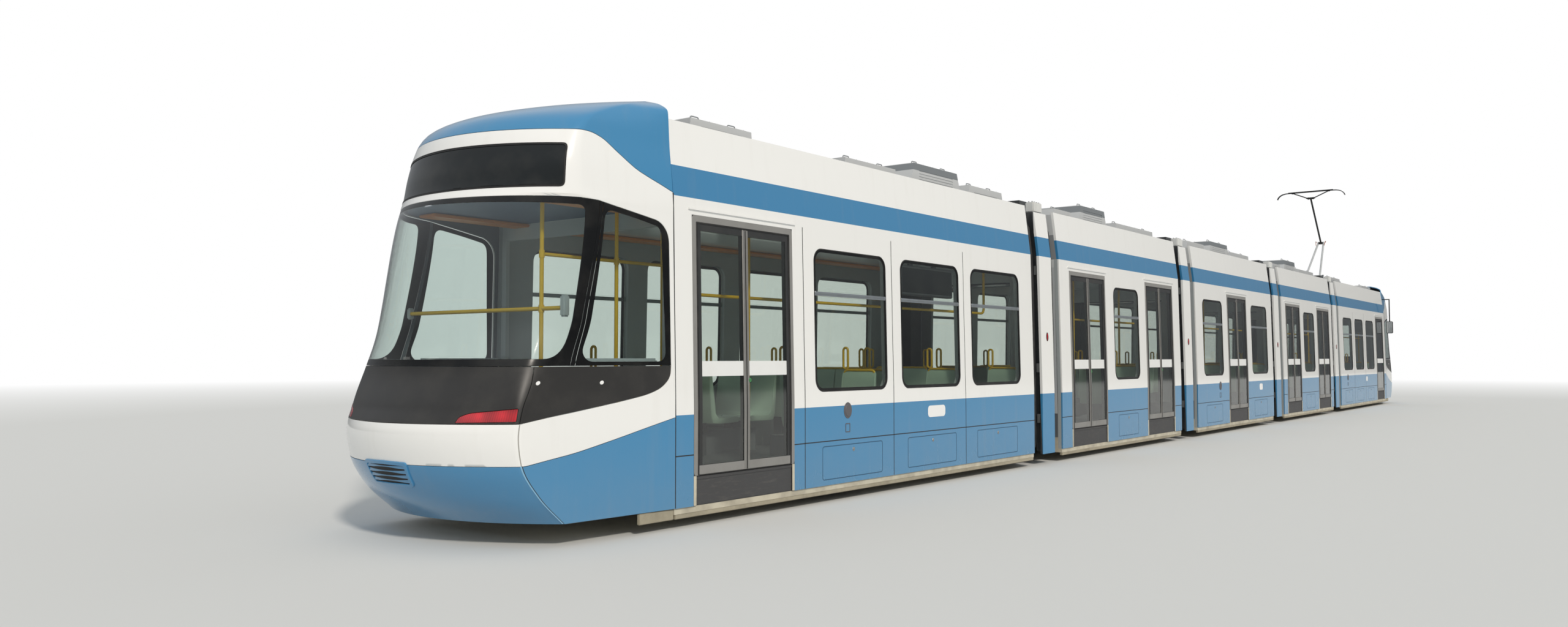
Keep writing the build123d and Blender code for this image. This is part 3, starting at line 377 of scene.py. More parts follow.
def plan_point(level, t):
    """Plan of one side: t runs 0 to 1 from the joint to the corner and 1 to 2 on to the middle of the end."""
    joint_half, corner, corner_half, end, softness = level[1:]

    def raw(t):
        if t <= 1:
            return corner * t, joint_half + (corner_half - joint_half) * t
        bulge = end - corner
        radius = (corner_half ** 2 + bulge ** 2) / (2 * bulge)
        angle = math.atan2(corner_half, corner - end + radius) * (2 - t)
        return end - radius + radius * math.cos(angle), radius * math.sin(angle)

    if abs(t - 1) >= softness:
        return raw(t)
    f = (t - 1 + softness) / (2 * softness)
    a, m, b = raw(1 - softness), raw(1), raw(1 + softness)
    return tuple((1 - f) ** 2 * a[k] + 2 * f * (1 - f) * m[k] + f ** 2 * b[k] for k in (0, 1))


def nose_point(end, u, v):
    """Point on the nose: u runs round the end from the right joint (0) to the left one (4), times around."""
    t = u / around
    level = nose_level(v)
    s, half = plan_point(level, t if t <= 2 else 4 - t)
    return Vector((end * (nose_joint + s), -half if t <= 2 else half, level[0]))


def nose_normal(end, u, v):
    step = 0.0006
    across = nose_point(end, u + step, v) - nose_point(end, u - step, v)
    up = nose_point(end, u, v + step) - nose_point(end, u, v - step)
    return across.cross(up).normalized() * end


def on_nose(kind, a, z):
    """Place (u, v) of a mark: on the right side by its distance from the joint, or on the end by its y."""
    v = length_at(z)
    level = nose_level(v)
    if kind == "joint":
        return 0.0, v
    if kind == "middle":
        return 2 * around, v
    low, high = 0.0, 2.0
    for _ in range(40):
        t = (low + high) / 2
        s, half = plan_point(level, t)
        before = s < a if kind == "side" else half > a
        low, high = (t, high) if before else (low, t)
    return around * low, v


def rounded_corner(before, p, after, radius, most, steps):
    """Curve that cuts the corner p, from the line before it to the line after it."""
    before, after = before - p, after - p
    reach = min(radius, before.length * most, after.length * most)
    start, stop = p + before.normalized() * reach, p + after.normalized() * reach
    parts = [k / steps for k in range(steps + 1)]
    return [(1 - f) ** 2 * start + 2 * f * (1 - f) * p + f ** 2 * stop for f in parts]


def rounded_line(marks, closed=True):
    """Places of an outline's marks (kind, distance, height, radius), in short steps round its corners."""
    places = [(Vector(on_nose(kind, a, z)), radius) for kind, a, z, radius in marks]
    line = []
    count = len(places)
    for i, (p, radius) in enumerate(places):
        if radius == 0 or (not closed and i in (0, count - 1)):
            line.append(p)
            continue
        line += rounded_corner(places[i - 1][0], p, places[(i + 1) % count][0], radius, 0.48, 8)
    return short_steps(line, closed)


def short_steps(line, closed=True, most=0.03):
    dense = []
    for i, p in enumerate(line):
        if not closed and i == len(line) - 1:
            dense.append(p)
            break
        q = line[(i + 1) % len(line)]
        count = max(1, math.ceil((q - p).length / most))
        dense += [p.lerp(q, k / count) for k in range(count)]
    return [p for i, p in enumerate(dense) if (p - dense[i - 1]).length > 1e-5]


def turned_over(line):
    """The same line on the left side, run backwards."""
    return [Vector((4 * around - p.x, p.y)) for p in reversed(line)]


def both_sides(half_line):
    """Closed outline across the middle from its right half."""
    line = half_line + turned_over(half_line)
    return short_steps([p for i, p in enumerate(line) if (p - line[i - 1]).length > 1e-4])


def signed_area(line):
    return sum(line[i - 1].x * p.y - p.x * line[i - 1].y for i, p in enumerate(line)) / 2


def moved_in(line, inset):
    """Each point of a closed line moved to the left of its direction."""
    moved = []
    for i, p in enumerate(line):
        along = (p - line[i - 1]).normalized() + (line[(i + 1) % len(line)] - p).normalized()
        along = along.normalized() if along.length > 1e-6 else (p - line[i - 1]).normalized()
        moved.append(p + Vector((-along.y, along.x)) * inset)
    return moved


def inside(loops, points):
    """True for each point that lies in the first loop and in none of the others."""
    x, y = np.array([p.x for p in points]), np.array([p.y for p in points])
    crossed = np.zeros(len(points), dtype=bool)
    for line in loops:
        for i, b in enumerate(line):
            a = line[i - 1]
            if a.y == b.y:
                continue
            between = (a.y > y) != (b.y > y)
            crossed ^= between & (x < (b.x - a.x) * (y - a.y) / (b.y - a.y) + a.x)
    return crossed


def grid_columns(step):
    """Columns of points across the nose, closer together at its corners."""
    near = [0.0] + [s * d for d in (0.012, 0.03, 0.06, 0.1, 0.145) for s in (-1, 1)]
    corners = [around * (c + d) for c in (1, 3) for d in near]
    count = int(4 * around / step)
    plain = [4 * around * k / count for k in range(count + 1)]
    return sorted(corners + [u for u in plain if all(abs(u - c * around) > around * 0.17 for c in (1, 3))])


def grid_inside(loops, step):
    """Grid points inside the loops and clear of their lines."""
    rims = [p for line in loops for p in line]
    near = KDTree(len(rims))
    for i, p in enumerate(rims):
        near.insert((p.x, p.y, 0), i)
    near.balance()
    low, high = min(p.y for p in loops[0]), max(p.y for p in loops[0])
    left, right = min(p.x for p in loops[0]), max(p.x for p in loops[0])
    rows = max(1, int((high - low) / step))
    grid = [Vector((u, low + (high - low) * (k + 0.5) / rows)) for u in grid_columns(step) if left < u < right
            for k in range(rows)]
    if not grid:
        return []
    within = [p for p, kept in zip(grid, inside(loops, grid)) if kept]
    return [p for p in within if near.find((p.x, p.y, 0))[2] > step * 0.35]


def nose_plate(name, end, outline, holes, thickness, materials, rise=0.0, gap=0.002, edge=0.002, step=0.05):
    """Closed plate on the nose's surface with broken edges, in its outside's and its inside's materials.
    Its rise above the surface is a length, or a function of the place."""
    loops = [outline if signed_area(outline) > 0 else outline[::-1]]
    loops += [hole if signed_area(hole) < 0 else hole[::-1] for hole in holes]
    tops = [moved_in(loop, gap + edge) for loop in loops]
    flat, rings = [], []
    for top in tops:
        rings.append(range(len(flat), len(flat) + len(top)))
        flat += top
    flat += grid_inside(tops, step)
    lines = [(ring[k - 1], ring[k]) for ring in rings for k in range(len(ring))]
    places, triangles = delaunay_2d_cdt(flat, lines, [], 0, 1e-7)[:3:2]
    centres = [sum((places[i] for i in triangle), Vector((0, 0))) / 3 for triangle in triangles]
    kept = [triangle for triangle, within in zip(triangles, inside(tops, centres)) if within]
    normals = [nose_normal(end, p.x, p.y) for p in places]

    def at(p, normal, depth):
        lift = rise(p.x, p.y) if callable(rise) else rise
        return nose_point(end, p.x, p.y) + normal * (lift - depth)

    under = len(places)
    points = [at(p, n, depth) for depth in (0, thickness) for p, n in zip(places, normals)]
    faces = [tuple(triangle) for triangle in kept]
    faces += [tuple(i + under for i in triangle[::-1]) for triangle in kept]
    kinds = ["out"] * len(kept) + ["in"] * len(kept)
    for loop, ring in zip(loops, rings):
        rim = moved_in(loop, gap)
        first, count = len(points), len(ring)
        points += [at(p, normals[ring[k]], edge) for k, p in enumerate(rim)]
        points += [at(p, normals[ring[k]], thickness) for k, p in enumerate(rim)]
        for k in range(count):
            n = (k + 1) % count
            faces += [(first + k, first + n, ring[n], ring[k]),
                      (first + count + k, first + count + n, first + n, first + k),
                      (under + ring[k], under + ring[n], first + count + n, first + count + k)]
            kinds += ["rim"] * 3
    if end == REAR:
        faces = [face[::-1] for face in faces]
    piece = new_piece(name, points, faces, materials[0])
    mesh = piece.data
    mesh.materials.append(materials[1])
    corner_normals = []
    for polygon, kind in zip(mesh.polygons, kinds):
        polygon.material_index = 1 if kind == "in" else 0
        polygon.use_smooth = True
        for i in polygon.vertices:
            smooth = polygon.normal if kind == "rim" else normals[i] if kind == "out" else -normals[i - under]
            corner_normals.append(tuple(smooth))
    mesh.normals_split_custom_set(corner_normals)
    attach(piece, NOSE_BODY[end])
    return piece


glass_foot = 1.372
# Outlines on the nose's right half, from marks (kind, distance from the joint or y, height, corner radius)
SWEEP = [("joint", 0, 0.937, 0), ("side", 0.304, 0.869, 0.2), ("side", 0.567, 0.808, 0.2),
         ("side", 0.810, 0.755, 0.2), ("side", 1.053, 0.704, 0.2), ("side", 1.276, 0.672, 0.2),
         ("side", 1.510, 0.636, 0.05), ("middle", 0, 0.632, 0)]
CAP_EDGE = [("joint", 0, 2.836, 0), ("side", 0.132, 2.886, 0.1), ("side", 0.263, 2.930, 0.1),
            ("side", 0.395, 2.980, 0.1), ("side", 0.516, 3.054, 0.1), ("side", 0.638, 3.132, 0.1),
            ("side", 0.720, 3.188, 0.1), ("side", 0.830, 3.226, 0.12), ("side", 0.935, 3.232, 0),
            ("middle", 0, 3.232, 0)]
BLACK_END = [("middle", 0, 0.944, 0), ("side", 1.552, 0.949, 0)]
BLACK_SIDE = [("side", 1.552, 0.949, 0), ("side", 1.276, 0.992, 0.2), ("side", 1.053, 1.021, 0.2),
              ("side", 0.820, 1.055, 0.2), ("side", 0.567, 1.092, 0.2), ("side", 0.304, 1.138, 0.15),
              ("side", 0.150, 1.190, 0.12), ("side", 0.055, 1.275, 0.1), ("side", 0.048, glass_foot, 0)]
WINDOW_TOP = [("side", 0.048, glass_foot, 0), ("side", 0.055, 2.470, 0.12), ("side", 0.150, 2.572, 0.12),
              ("side", 0.415, 2.616, 0.2), ("side", 0.678, 2.658, 0.2), ("side", 0.765, 2.6725, 0)]
PILLAR_TOP = [("side", 0.765, 2.6725, 0), ("side", 0.800, 2.6783, 0)]
SCREEN_TOP = [("side", 0.800, 2.6783, 0), ("side", 0.810, 2.680, 0), ("side", 0.960, 2.688, 0),
              ("middle", 0, 2.690, 0)]
SEAM = [("side", 1.552, 0.949, 0), ("side", 1.525, 1.060, 0.1), ("side", 1.479, 1.163, 0.1),
        ("side", 1.438, 1.253, 0.1), ("side", 1.408, glass_foot, 0)]
PANEL_TOP = [("side", 0.048, glass_foot, 0), ("side", 1.145, glass_foot, 0), ("side", 1.386, glass_foot, 0),
             ("side", 1.408, glass_foot, 0)]
PILLAR_SIDE = [("side", 1.050, glass_foot, 0), ("side", 0.945, 1.749, 0.3), ("side", 0.765, 2.6725, 0)]
PILLAR_END = [("side", 1.095, glass_foot, 0), ("side", 0.983, 1.749, 0.3), ("side", 0.800, 2.6783, 0)]
SIDE_CLEAR = [("side", 0.105, 1.408, 0.09), ("side", 0.142, 2.520, 0.09), ("side", 0.415, 2.571, 0.1),
              ("side", 0.745, 2.620, 0.12), ("side", 0.985, 1.480, 0.12), ("side", 0.925, 1.408, 0.09)]
SCREEN_CLEAR = [("middle", 0, 1.424, 0), ("side", 1.190, 1.430, 0.24), ("side", 1.072, 1.749, 0.3),
                ("side", 0.937, 2.630, 0.07), ("middle", 0, 2.648, 0)]
LAMP = [("end", 0.690, 0.956, 0.012), ("end", 0.706, 1.000, 0.02), ("end", 0.770, 1.028, 0.05),
        ("end", 1.080, 1.062, 0.012), ("end", 1.084, 0.966, 0.012)]
DISPLAY = [("middle", 0, 2.755, 0), ("end", 1.052, 2.762, 0.05), ("end", 1.030, 3.112, 0.05),
           ("middle", 0, 3.118, 0)]


def open_line(marks):
    return rounded_line(marks, closed=False)


def joined(*lines):
    """One line from several that meet end to end."""
    line = [p for part in lines for p in part]
    return [p for i, p in enumerate(line) if i == 0 or (p - line[i - 1]).length > 1e-4]


def weathered_paint(name, code, roughness=0.55, grime="#5C5A55", amount=0.45):
    """Satin coil-coated sheet gone chalky, with grime in soft patches."""
    material, tree = new_material(name)
    place = add_node(tree, "TexCoord"), "Object"
    patches = add_node(tree, "TexNoise", {"Vector": place, "Scale": 2.4, "Detail": 8.0, "Roughness": 0.65})
    share = add_node(tree, "MapRange",
                     {"Value": patches, "From Min": 0.45, "From Max": 0.85, "To Max": amount})
    colour = add_node(tree, "Mix", {0: share, 6: linear(code), 7: linear(grime)}, data_type="RGBA")
    rough = add_node(tree, "MapRange",
                     {"Value": patches, "To Min": roughness - 0.1, "To Max": roughness + 0.2})
    # The grain of the paint is too fine to show, so it is drawn 6 mm wide.
    grain = add_node(tree, "TexNoise", {"Vector": place, "Scale": 160.0, "Detail": 2.0})
    bump = add_node(tree, "Bump", {"Height": grain, "Strength": 0.12, "Distance": 0.0006})
    shader = add_node(tree, "BsdfPrincipled", {"Base Color": (colour, 2), "Roughness": rough, "Normal": bump})
    finish_material(tree, shader)
    return material


def satin_panel(name, code, roughness, speckle=0.10):
    """Moulded glass-fibre panel in satin paint: orange peel, dust in soft patches and small pale chips."""
    material, tree = new_material(name)
    place = add_node(tree, "TexCoord"), "Object"
    dust = add_node(tree, "TexNoise", {"Vector": place, "Scale": 3.0, "Detail": 8.0, "Roughness": 0.6})
    share = add_node(tree, "MapRange", {"Value": dust, "From Min": 0.45, "From Max": 0.9, "To Max": 0.10})
    # Real chips are a millimetre or two, too fine to show, so they are drawn 7 mm apart.
    chips = add_node(tree, "TexNoise", {"Vector": place, "Scale": 140.0, "Detail": 2.0})
    spots = add_node(tree, "MapRange",
                     {"Value": chips, "From Min": 0.72, "From Max": 0.76, "To Max": speckle})
    sum_up = add_node(tree, "Math", {0: share, 1: spots}, operation="ADD")
    colour = add_node(tree, "Mix", {0: sum_up, 6: linear(code), 7: linear("#8A857B")}, data_type="RGBA")
    rough = add_node(tree, "MapRange",
                     {"Value": dust, "To Min": roughness - 0.06, "To Max": roughness + 0.14})
    peel = add_node(tree, "Bump", {"Height": chips, "Strength": 0.08, "Distance": 0.0006})
    shader = add_node(tree, "BsdfPrincipled", {"Base Color": (colour, 2), "Roughness": rough, "Normal": peel})
    finish_material(tree, shader)
    return material


def lamp_lens(name, code, deep):
    """Moulded lamp glass: upright flutes over a mirrored bowl, with painted reflection: bright where each
    bowl sits and on the flutes, dark between.
    """
    material, tree = new_material(name)
    place = add_node(tree, "TexCoord"), "Object"
    flutes = add_node(tree, "TexWave", {"Vector": place, "Scale": 22.0}, bands_direction="Y")
    bowls = add_node(tree, "TexVoronoi", {"Vector": place, "Scale": 8.0, "Randomness": 0.2},
                     feature="SMOOTH_F1")
    # Painted reflection: the unlit lens is coloured bright over each mirrored bowl and a little brighter on
    # the flutes.
    painted_bowl_reflection = add_node(tree, "MapRange", {"Value": (bowls, "Distance"), "From Min": 0.62, "From Max": 0.15})
    painted_lens_reflection = add_node(tree, "Math", {0: (flutes, "Fac"), 1: 0.2, 2: painted_bowl_reflection}, operation="MULTIPLY_ADD")
    colour = add_node(tree, "Mix", {0: painted_lens_reflection, 6: linear(deep), 7: linear(code)}, data_type="RGBA")
    bump = add_node(tree, "Bump", {"Height": (flutes, "Fac"), "Strength": 0.3, "Distance": 0.003})
    shader = add_node(tree, "BsdfPrincipled",
                      {"Base Color": (colour, 2), "Roughness": 0.09, "Coat Weight": 1.0,
                       "Coat Roughness": 0.02, "Normal": bump})
    finish_material(tree, shader)
    return material


nose_white = coach_lacquer("nose_white_lacquer", [(0, body_white)], dust=0.25, roughness=0.2)
nose_blue = coach_lacquer("nose_blue_lacquer", [(0, body_blue)], dust=0.2, roughness=0.18)
nose_black = satin_panel("black_end_panel", "#2B2A29", 0.34)
frit_black = satin_panel("printed_glass_edge", "#08090A", 0.12, 0.0)
inner_lining = weathered_paint("grey_lining", "#5E666C", 0.6, "#474C50", 0.2)
screen_glass = tinted_glass("screen_glass", "#EDF2F0")
display_glass = satin_panel("dark_display_glass", "#0D1213", 0.07, 0.0)
red_lens = lamp_lens("red_lamp_glass", "#D8232F", "#5C0710")
clear_lens = lamp_lens("clear_lamp_glass", "#E3E8EA", "#6E777C")

sill_top, cap_top = NOSE_LEVELS[0][0], NOSE_LEVELS[-1][0]
joint_foot, joint_top = Vector(on_nose("joint", 0, sill_top)), Vector(on_nose("joint", 0, cap_top))
middle_foot, middle_top = Vector(on_nose("middle", 0, sill_top)), Vector(on_nose("middle", 0, cap_top))
sweep, cap_edge, display = open_line(SWEEP), open_line(CAP_EDGE), both_sides(open_line(DISPLAY))
black_end, black_side, seam, panel_top = (open_line(marks)
                                          for marks in (BLACK_END, BLACK_SIDE, SEAM, PANEL_TOP))
window_top, pillar_top, screen_top = (open_line(marks) for marks in (WINDOW_TOP, PILLAR_TOP, SCREEN_TOP))
pillar_side, pillar_end = open_line(PILLAR_SIDE), open_line(PILLAR_END)
glazed_and_black = both_sides(joined(black_end, black_side, window_top, pillar_top, screen_top))
window_foot = open_line([("side", 0.048, glass_foot, 0), ("side", 1.050, glass_foot, 0)])
screen_foot = open_line([("middle", 0, glass_foot, 0), ("side", 1.095, glass_foot, 0)])
top_of_end = open_line([("side", 1.408, glass_foot, 0), ("middle", 0, glass_foot, 0)])
lamp, side_clear = rounded_line(LAMP), rounded_line(SIDE_CLEAR)
screen_clear = both_sides(open_line(SCREEN_CLEAR))


def closed(*lines):
    """Closed outline from lines that meet end to end."""
    line = joined(*lines)
    return line[:-1] if (line[0] - line[-1]).length < 1e-4 else line


def mirrored(outline, left):
    return turned_over(outline) if left else outline


def nose_set(end):
    """All the plates of one nose."""
    shell_deep, panel_deep, lens_deep, pane_deep, border_deep = 0.022, 0.018, 0.016, 0.006, 0.004
    made = {"shell": [], "panel": [], "glass": [], "lamps": []}

    def add(kind, label, outline, holes, thickness, outside, inside_face=inner_lining, **sizes):
        materials = (outside, inside_face)
        made[kind].append(nose_plate(NOSE_NAME[end] + label, end, outline, holes, thickness, materials,
                                     **sizes))

    lens = red_lens if end == REAR else clear_lens
    add("shell", "_lower_skirt", both_sides(joined([middle_foot, joint_foot], sweep)), [], shell_deep,
        nose_blue)
    add("shell", "_white_shell", both_sides(joined(sweep[::-1], cap_edge)), [glazed_and_black, display],
        shell_deep, nose_white)
    add("shell", "_roof_cap", both_sides(joined(cap_edge[::-1], [joint_top, middle_top])), [], shell_deep,
        nose_blue)
    add("panel", "_end_panel", both_sides(joined(black_end, seam, top_of_end)), [lamp, turned_over(lamp)],
        panel_deep, nose_black)
    for left in (False, True):
        hand = "_left_" if left else "_right_"
        black = mirrored(closed(black_side, panel_top, seam[::-1]), left)
        add("panel", hand + "side_panel", black, [], panel_deep, nose_black)
        add("lamps", hand + "lamp_glass", mirrored(lamp, left), [], lens_deep, lens, lens,
            rise=0.002, step=0.03)
        window = mirrored(closed(window_top, pillar_side[::-1], window_foot[::-1]), left)
        clear = mirrored(side_clear, left)
        add("glass", hand + "window_edge", window, [clear], border_deep, frit_black, frit_black, edge=0.001)
        add("glass", hand + "window_glass", clear, [], border_deep, screen_glass, screen_glass, gap=-0.001,
            edge=0.0005)
        pillar = mirrored(closed(pillar_side, pillar_top, pillar_end[::-1]), left)
        add("glass", hand + "pillar", pillar, [], pane_deep, frit_black)
    screen = both_sides(joined(screen_foot, pillar_end, screen_top))
    add("glass", "_screen_edge", screen, [screen_clear], pane_deep, frit_black, frit_black)
    add("glass", "_screen_glass", screen_clear, [], pane_deep, screen_glass, screen_glass, gap=-0.001,
        edge=0.0005)
    add("glass", "_display_glass", display, [], 0.008, display_glass, rise=-0.003)
    return made


for end in (REAR, FRONT):
    plates = nose_set(end)
    for kind, pieces in plates.items():
        node = NOSE_NAME[end] + ("_lamps" if kind == "lamps" else "_nose_" + kind)
        for piece in pieces:
            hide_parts(node)


# Nose fittings: louvred coupler flap, rubber round the display, sealed seams, and flat lid and ceiling that
# close the shell. Flap and lid are lacquered glass-fibre.
FLAP = [("middle", 0, 0.452, 0), ("end", 0.255, 0.455, 0.05), ("end", 0.275, 0.655, 0.035),
        ("middle", 0, 0.660, 0)]
LOUVRES = [("middle", 0, 0.484, 0), ("end", 0.225, 0.486, 0.02), ("end", 0.240, 0.624, 0.02),
           ("middle", 0, 0.628, 0)]
flap, louvres = both_sides(open_line(FLAP)), both_sides(open_line(LOUVRES))
flap_slats = 4
trim_rubber = satin_panel("display_rubber", "#141415", 0.6)
ceiling_blue = satin_panel("blue_grey_ceiling", "#59708A", 0.5)


def level_slab(name, end, z, thickness, inset, material, body):
    """Flat plate that closes the nose at a height, from the joint to the rounded end."""
    v, around_steps = length_at(z), 36
    ring = [nose_point(end, 4 * around * k / around_steps, v) for k in range(around_steps + 1)]
    middle = Vector((end * (nose_joint + 0.1), 0, 0))
    points = []
    for depth, less in ((0, inset + 0.003), (0.003, inset), (thickness, inset)):
        for p in ring:
            inward = Vector((middle.x - p.x, -p.y, 0)).normalized() * less
            points.append(Vector((p.x + inward.x, p.y + inward.y, z - depth)))
    count = around_steps + 1
    faces = [tuple(range(count)), tuple(reversed(range(2 * count, 3 * count)))]
    for row in (0, 1):
        for k in range(count):
            n = (k + 1) % count
            faces.append((row * count + n, row * count + k, (row + 1) * count + k, (row + 1) * count + n))
    faces = faces if end == REAR else [face[::-1] for face in faces]
    piece = new_piece(name, points, faces, material)
    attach(piece, body)
    return piece


def coupler_flap(end):
    """Raised cover with tilted slats over a dark recess, ringed by a black band of painted shadow."""
    side = NOSE_NAME[end]
    # The black band just outside the flap is painted shadow in the gap round it.
    made = [nose_plate(side + "_flap_painted_shadow", end, moved_in(flap, -0.010), [], 0.006, (trim_rubber, trim_rubber),
                       rise=0.003, edge=0.001),
            nose_plate(side + "_coupler_flap", end, flap, [louvres], 0.016, (nose_blue, inner_lining),
                       rise=0.013, edge=0.004)]
    (left, right), (foot, top) = ((min(p[k] for p in louvres), max(p[k] for p in louvres)) for k in (0, 1))
    pitch = (top - foot) / flap_slats
    for i in range(flap_slats):
        low, high = foot + (i + 0.30) * pitch, foot + (i + 0.30) * pitch + pitch * 0.72
        slat = [Vector((left - 0.01, low)), Vector((right + 0.01, low)), Vector((right + 0.01, high)),
                Vector((left - 0.01, high))]
        slope = 0.010 / (pitch * 0.72)
        made.append(nose_plate("%s_flap_slat_%d" % (side, i + 1), end, slat, [], 0.004,
                               (nose_blue, nose_blue), edge=0.001,
                               rise=lambda u, v, low=low: 0.013 - (v - low) * slope))
    return made


def ribbon(line, half, shift=0.0):
    """Closed outline of a narrow band along a line on the nose."""
    outer, inner = [], []
    for i, p in enumerate(line):
        along = (line[min(i + 1, len(line) - 1)] - line[max(i - 1, 0)]).normalized()
        across = Vector((-along.y, along.x))
        outer.append(p + across * (shift + half))
        inner.append(p + across * (shift - half))
    return outer + inner[::-1]


corner_top, corner_sweep = Vector(on_nose("side", 1.552, 0.944)), Vector((around, length_at(0.640)))
corner_white = short_steps([corner_top, corner_sweep], closed=False)
corner_blue = short_steps([corner_sweep, Vector((around, length_at(sill_top + 0.006)))], closed=False)
joint_seal = satin_panel("joint_seal", "#2A2D2F", 0.6, 0.0)
seam_grey = satin_panel("white_seam_filler", "#9C9A94", 0.5, 0.0)
# The skirt lip's light blue is a painted highlight, where its rounded edge catches the sky.
skirt_lip_highlight_blue = satin_panel("skirt_lip_painted_highlight", "#86B7D6", 0.35, 0.0)
for end in (REAR, FRONT):
    side, body = NOSE_NAME[end], NOSE_BODY[end]
    for label, line in (("sweep", sweep), ("cap", cap_edge)):
        middle_line = line + turned_over(line)[1:]
        seal = nose_plate(side + "_%s_seal" % label, end, ribbon(middle_line, 0.008), [], 0.003,
                          (joint_seal, joint_seal), rise=-0.004, gap=0.0, edge=0.0003)
    for left in (False, True):
        hand = side + ("_left" if left else "_right")
        for label, line, filler in (("_corner_seam", ribbon(corner_white, 0.004), seam_grey),
                                    ("_skirt_seam", ribbon(corner_blue, 0.003, -0.007), joint_seal)):
            seam_strip = nose_plate(hand + label, end, mirrored(line, left), [], 0.003, (filler, filler),
                                    rise=0.0008, gap=0.0, edge=0.0003)
        # Lip in light blue as a painted highlight along the corner.
        lip = nose_plate(hand + "_skirt_lip", end, mirrored(ribbon(corner_blue, 0.007, 0.004), left), [],
                         0.006, (skirt_lip_highlight_blue, inner_lining), rise=0.004, gap=0.0, edge=0.004)
    for piece in coupler_flap(end):
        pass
    lid = level_slab(side + "_cap_lid", end, cap_top, 0.022, 0.0, nose_blue, body)
    level_slab(side + "_nose_ceiling", end, 2.735, 0.030, 0.045, ceiling_blue, body)
    ring = nose_plate(side + "_display_rubber", end, moved_in(display, -0.013), [display], 0.008,
                      (trim_rubber, trim_rubber), rise=0.002, gap=0.0, edge=0.002)


# Window surrounds: a printed black border on the glass, a rubber lip round it, and a silver bar under the
# flap pane. The rings lie flush with the body side. The bars are drawn aluminium with two grooves along them.
SIDE_LINE = [(0.0, 1.200), (1.0, 1.200), (2.812, 1.164), (3.475, 1.085), (3.7, 1.058)]
SIDE_BENDS = [mark[0] for mark in SIDE_LINE[1:-1]]
MODULE_ENDS = {"module_1": (-16.0, -9.1), "module_2": (-8.2, -3.2), "module_3": (-2.3, 2.85),
               "module_4": (3.75, 8.7), "module_5": (9.6, 16.0)}
RIGHT, LEFT = -1, 1
# Openings by section: width and starts from the section's rear end, on the right and on the left
WINDOW_ROWS = {
    "module_1": [(RIGHT, 1.310, [1.990, 3.595, 5.200]), (LEFT, 1.310, [0.385, 1.990, 3.595, 5.200])],
    "module_2": [(RIGHT, 1.050, [1.975]), (LEFT, 1.190, [0.450, 1.905, 3.360])],
    "module_3": [(RIGHT, 1.190, [0.400, 3.560]), (LEFT, 1.190, [0.400, 1.980, 3.560])],
    "module_4": [(RIGHT, 1.050, [1.950]), (LEFT, 1.190, [0.425, 1.880, 3.335])],
    "module_5": [(RIGHT, 1.105, [0.445, 1.965, 3.485]), (LEFT, 1.105, [0.445, 1.965, 3.485, 5.005])],
}
WINDOWS = {name: [(hand, start, width) for hand, width, starts in rows for start in starts]
           for name, rows in WINDOW_ROWS.items()}
window_low, window_high, window_corner = 1.100, 2.520, 0.130


def side_half(z):
    """Half width of the body at a height."""
    for (z0, w0), (z1, w1) in zip(SIDE_LINE, SIDE_LINE[1:]):
        if z <= z1:
            return w0 + (w1 - w0) * (z - z0) / (z1 - z0)
    return SIDE_LINE[-1][1]


def rounded_rectangle(x0, x1, z0, z1, radius, steps=7):
    """Closed line of (x, z), anticlockwise with x to the right."""
    line = []
    for cx, cz, first in ((x1 - radius, z0 + radius, -90), (x1 - radius, z1 - radius, 0),
                          (x0 + radius, z1 - radius, 90), (x0 + radius, z0 + radius, 180)):
        for k in range(steps + 1):
            turn = math.radians(first + 90 * k / steps)
            line.append(Vector((cx + radius * math.cos(turn), cz + radius * math.sin(turn))))
    return line


def with_bends(line):
    """The line with a point added wherever it crosses a change in the side's slope."""
    bent = []
    for i, p in enumerate(line):
        q = line[i - 1]
        crossed = [z for z in SIDE_BENDS if min(p.y, q.y) + 1e-6 < z < max(p.y, q.y) - 1e-6]
        bent += [q.lerp(p, (z - q.y) / (p.y - q.y)) for z in sorted(crossed, reverse=q.y > p.y)] + [p]
    return bent


def ring_faces(a, b, count):
    """Faces between two rings of points that start at a and b."""
    return [(a + k, a + (k + 1) % count, b + (k + 1) % count, b + k) for k in range(count)]


def side_plate(hand, line, hole=None, out=0.0, deep=0.006, edge=0.001):
    """Points and faces of a plate on the body side, with broken edges. hole has as many points as line."""
    line, hole = with_bends(line), with_bends(hole) if hole else None
    loops = [(line, 1)] + ([(hole, -1)] if hole else [])
    points, faces, tops, backs = [], [], [], []
    for loop, sense in loops:
        count = len(loop)
        inner = moved_in(loop, edge * sense)
        for flat, lift in ((inner, out), (loop, out - edge), (loop, out - deep)):
            points += [Vector((p.x, hand * (side_half(p.y) + lift), p.y)) for p in flat]
        first = len(points) - 3 * count
        tops.append(range(first, first + count))
        backs.append(range(first + 2 * count, first + 3 * count))
        for row in (0, 1):
            strips = ring_faces(first + (row + 1) * count, first + row * count, count)
            faces += strips if sense > 0 else [strip[::-1] for strip in strips]
    if hole:
        count = len(line)
        for k in range(count):
            n = (k + 1) % count
            faces.append((tops[0][k], tops[0][n], tops[1][n], tops[1][k]))
            faces.append((backs[0][n], backs[0][k], backs[1][k], backs[1][n]))
    else:
        foot, head = min(p.y for p in line), max(p.y for p in line)
        heights = [foot] + [z for z in SIDE_BENDS if foot < z < head] + [head]
        for low, high in zip(heights, heights[1:]):
            band = [k for k, p in enumerate(line) if low - 1e-6 <= p.y <= high + 1e-6]
            faces += [tuple(tops[0][k] for k in band), tuple(backs[0][k] for k in reversed(band))]
    return points, faces if hand == RIGHT else [face[::-1] for face in faces]


def square_plate(hand, x0, x1, z0, z1, radius, steps=3, out=0.0, deep=0.006, edge=0.001):
    """A side plate with four rounded corners."""
    return side_plate(hand, rounded_rectangle(x0, x1, z0, z1, radius, steps), None, out, deep, edge)


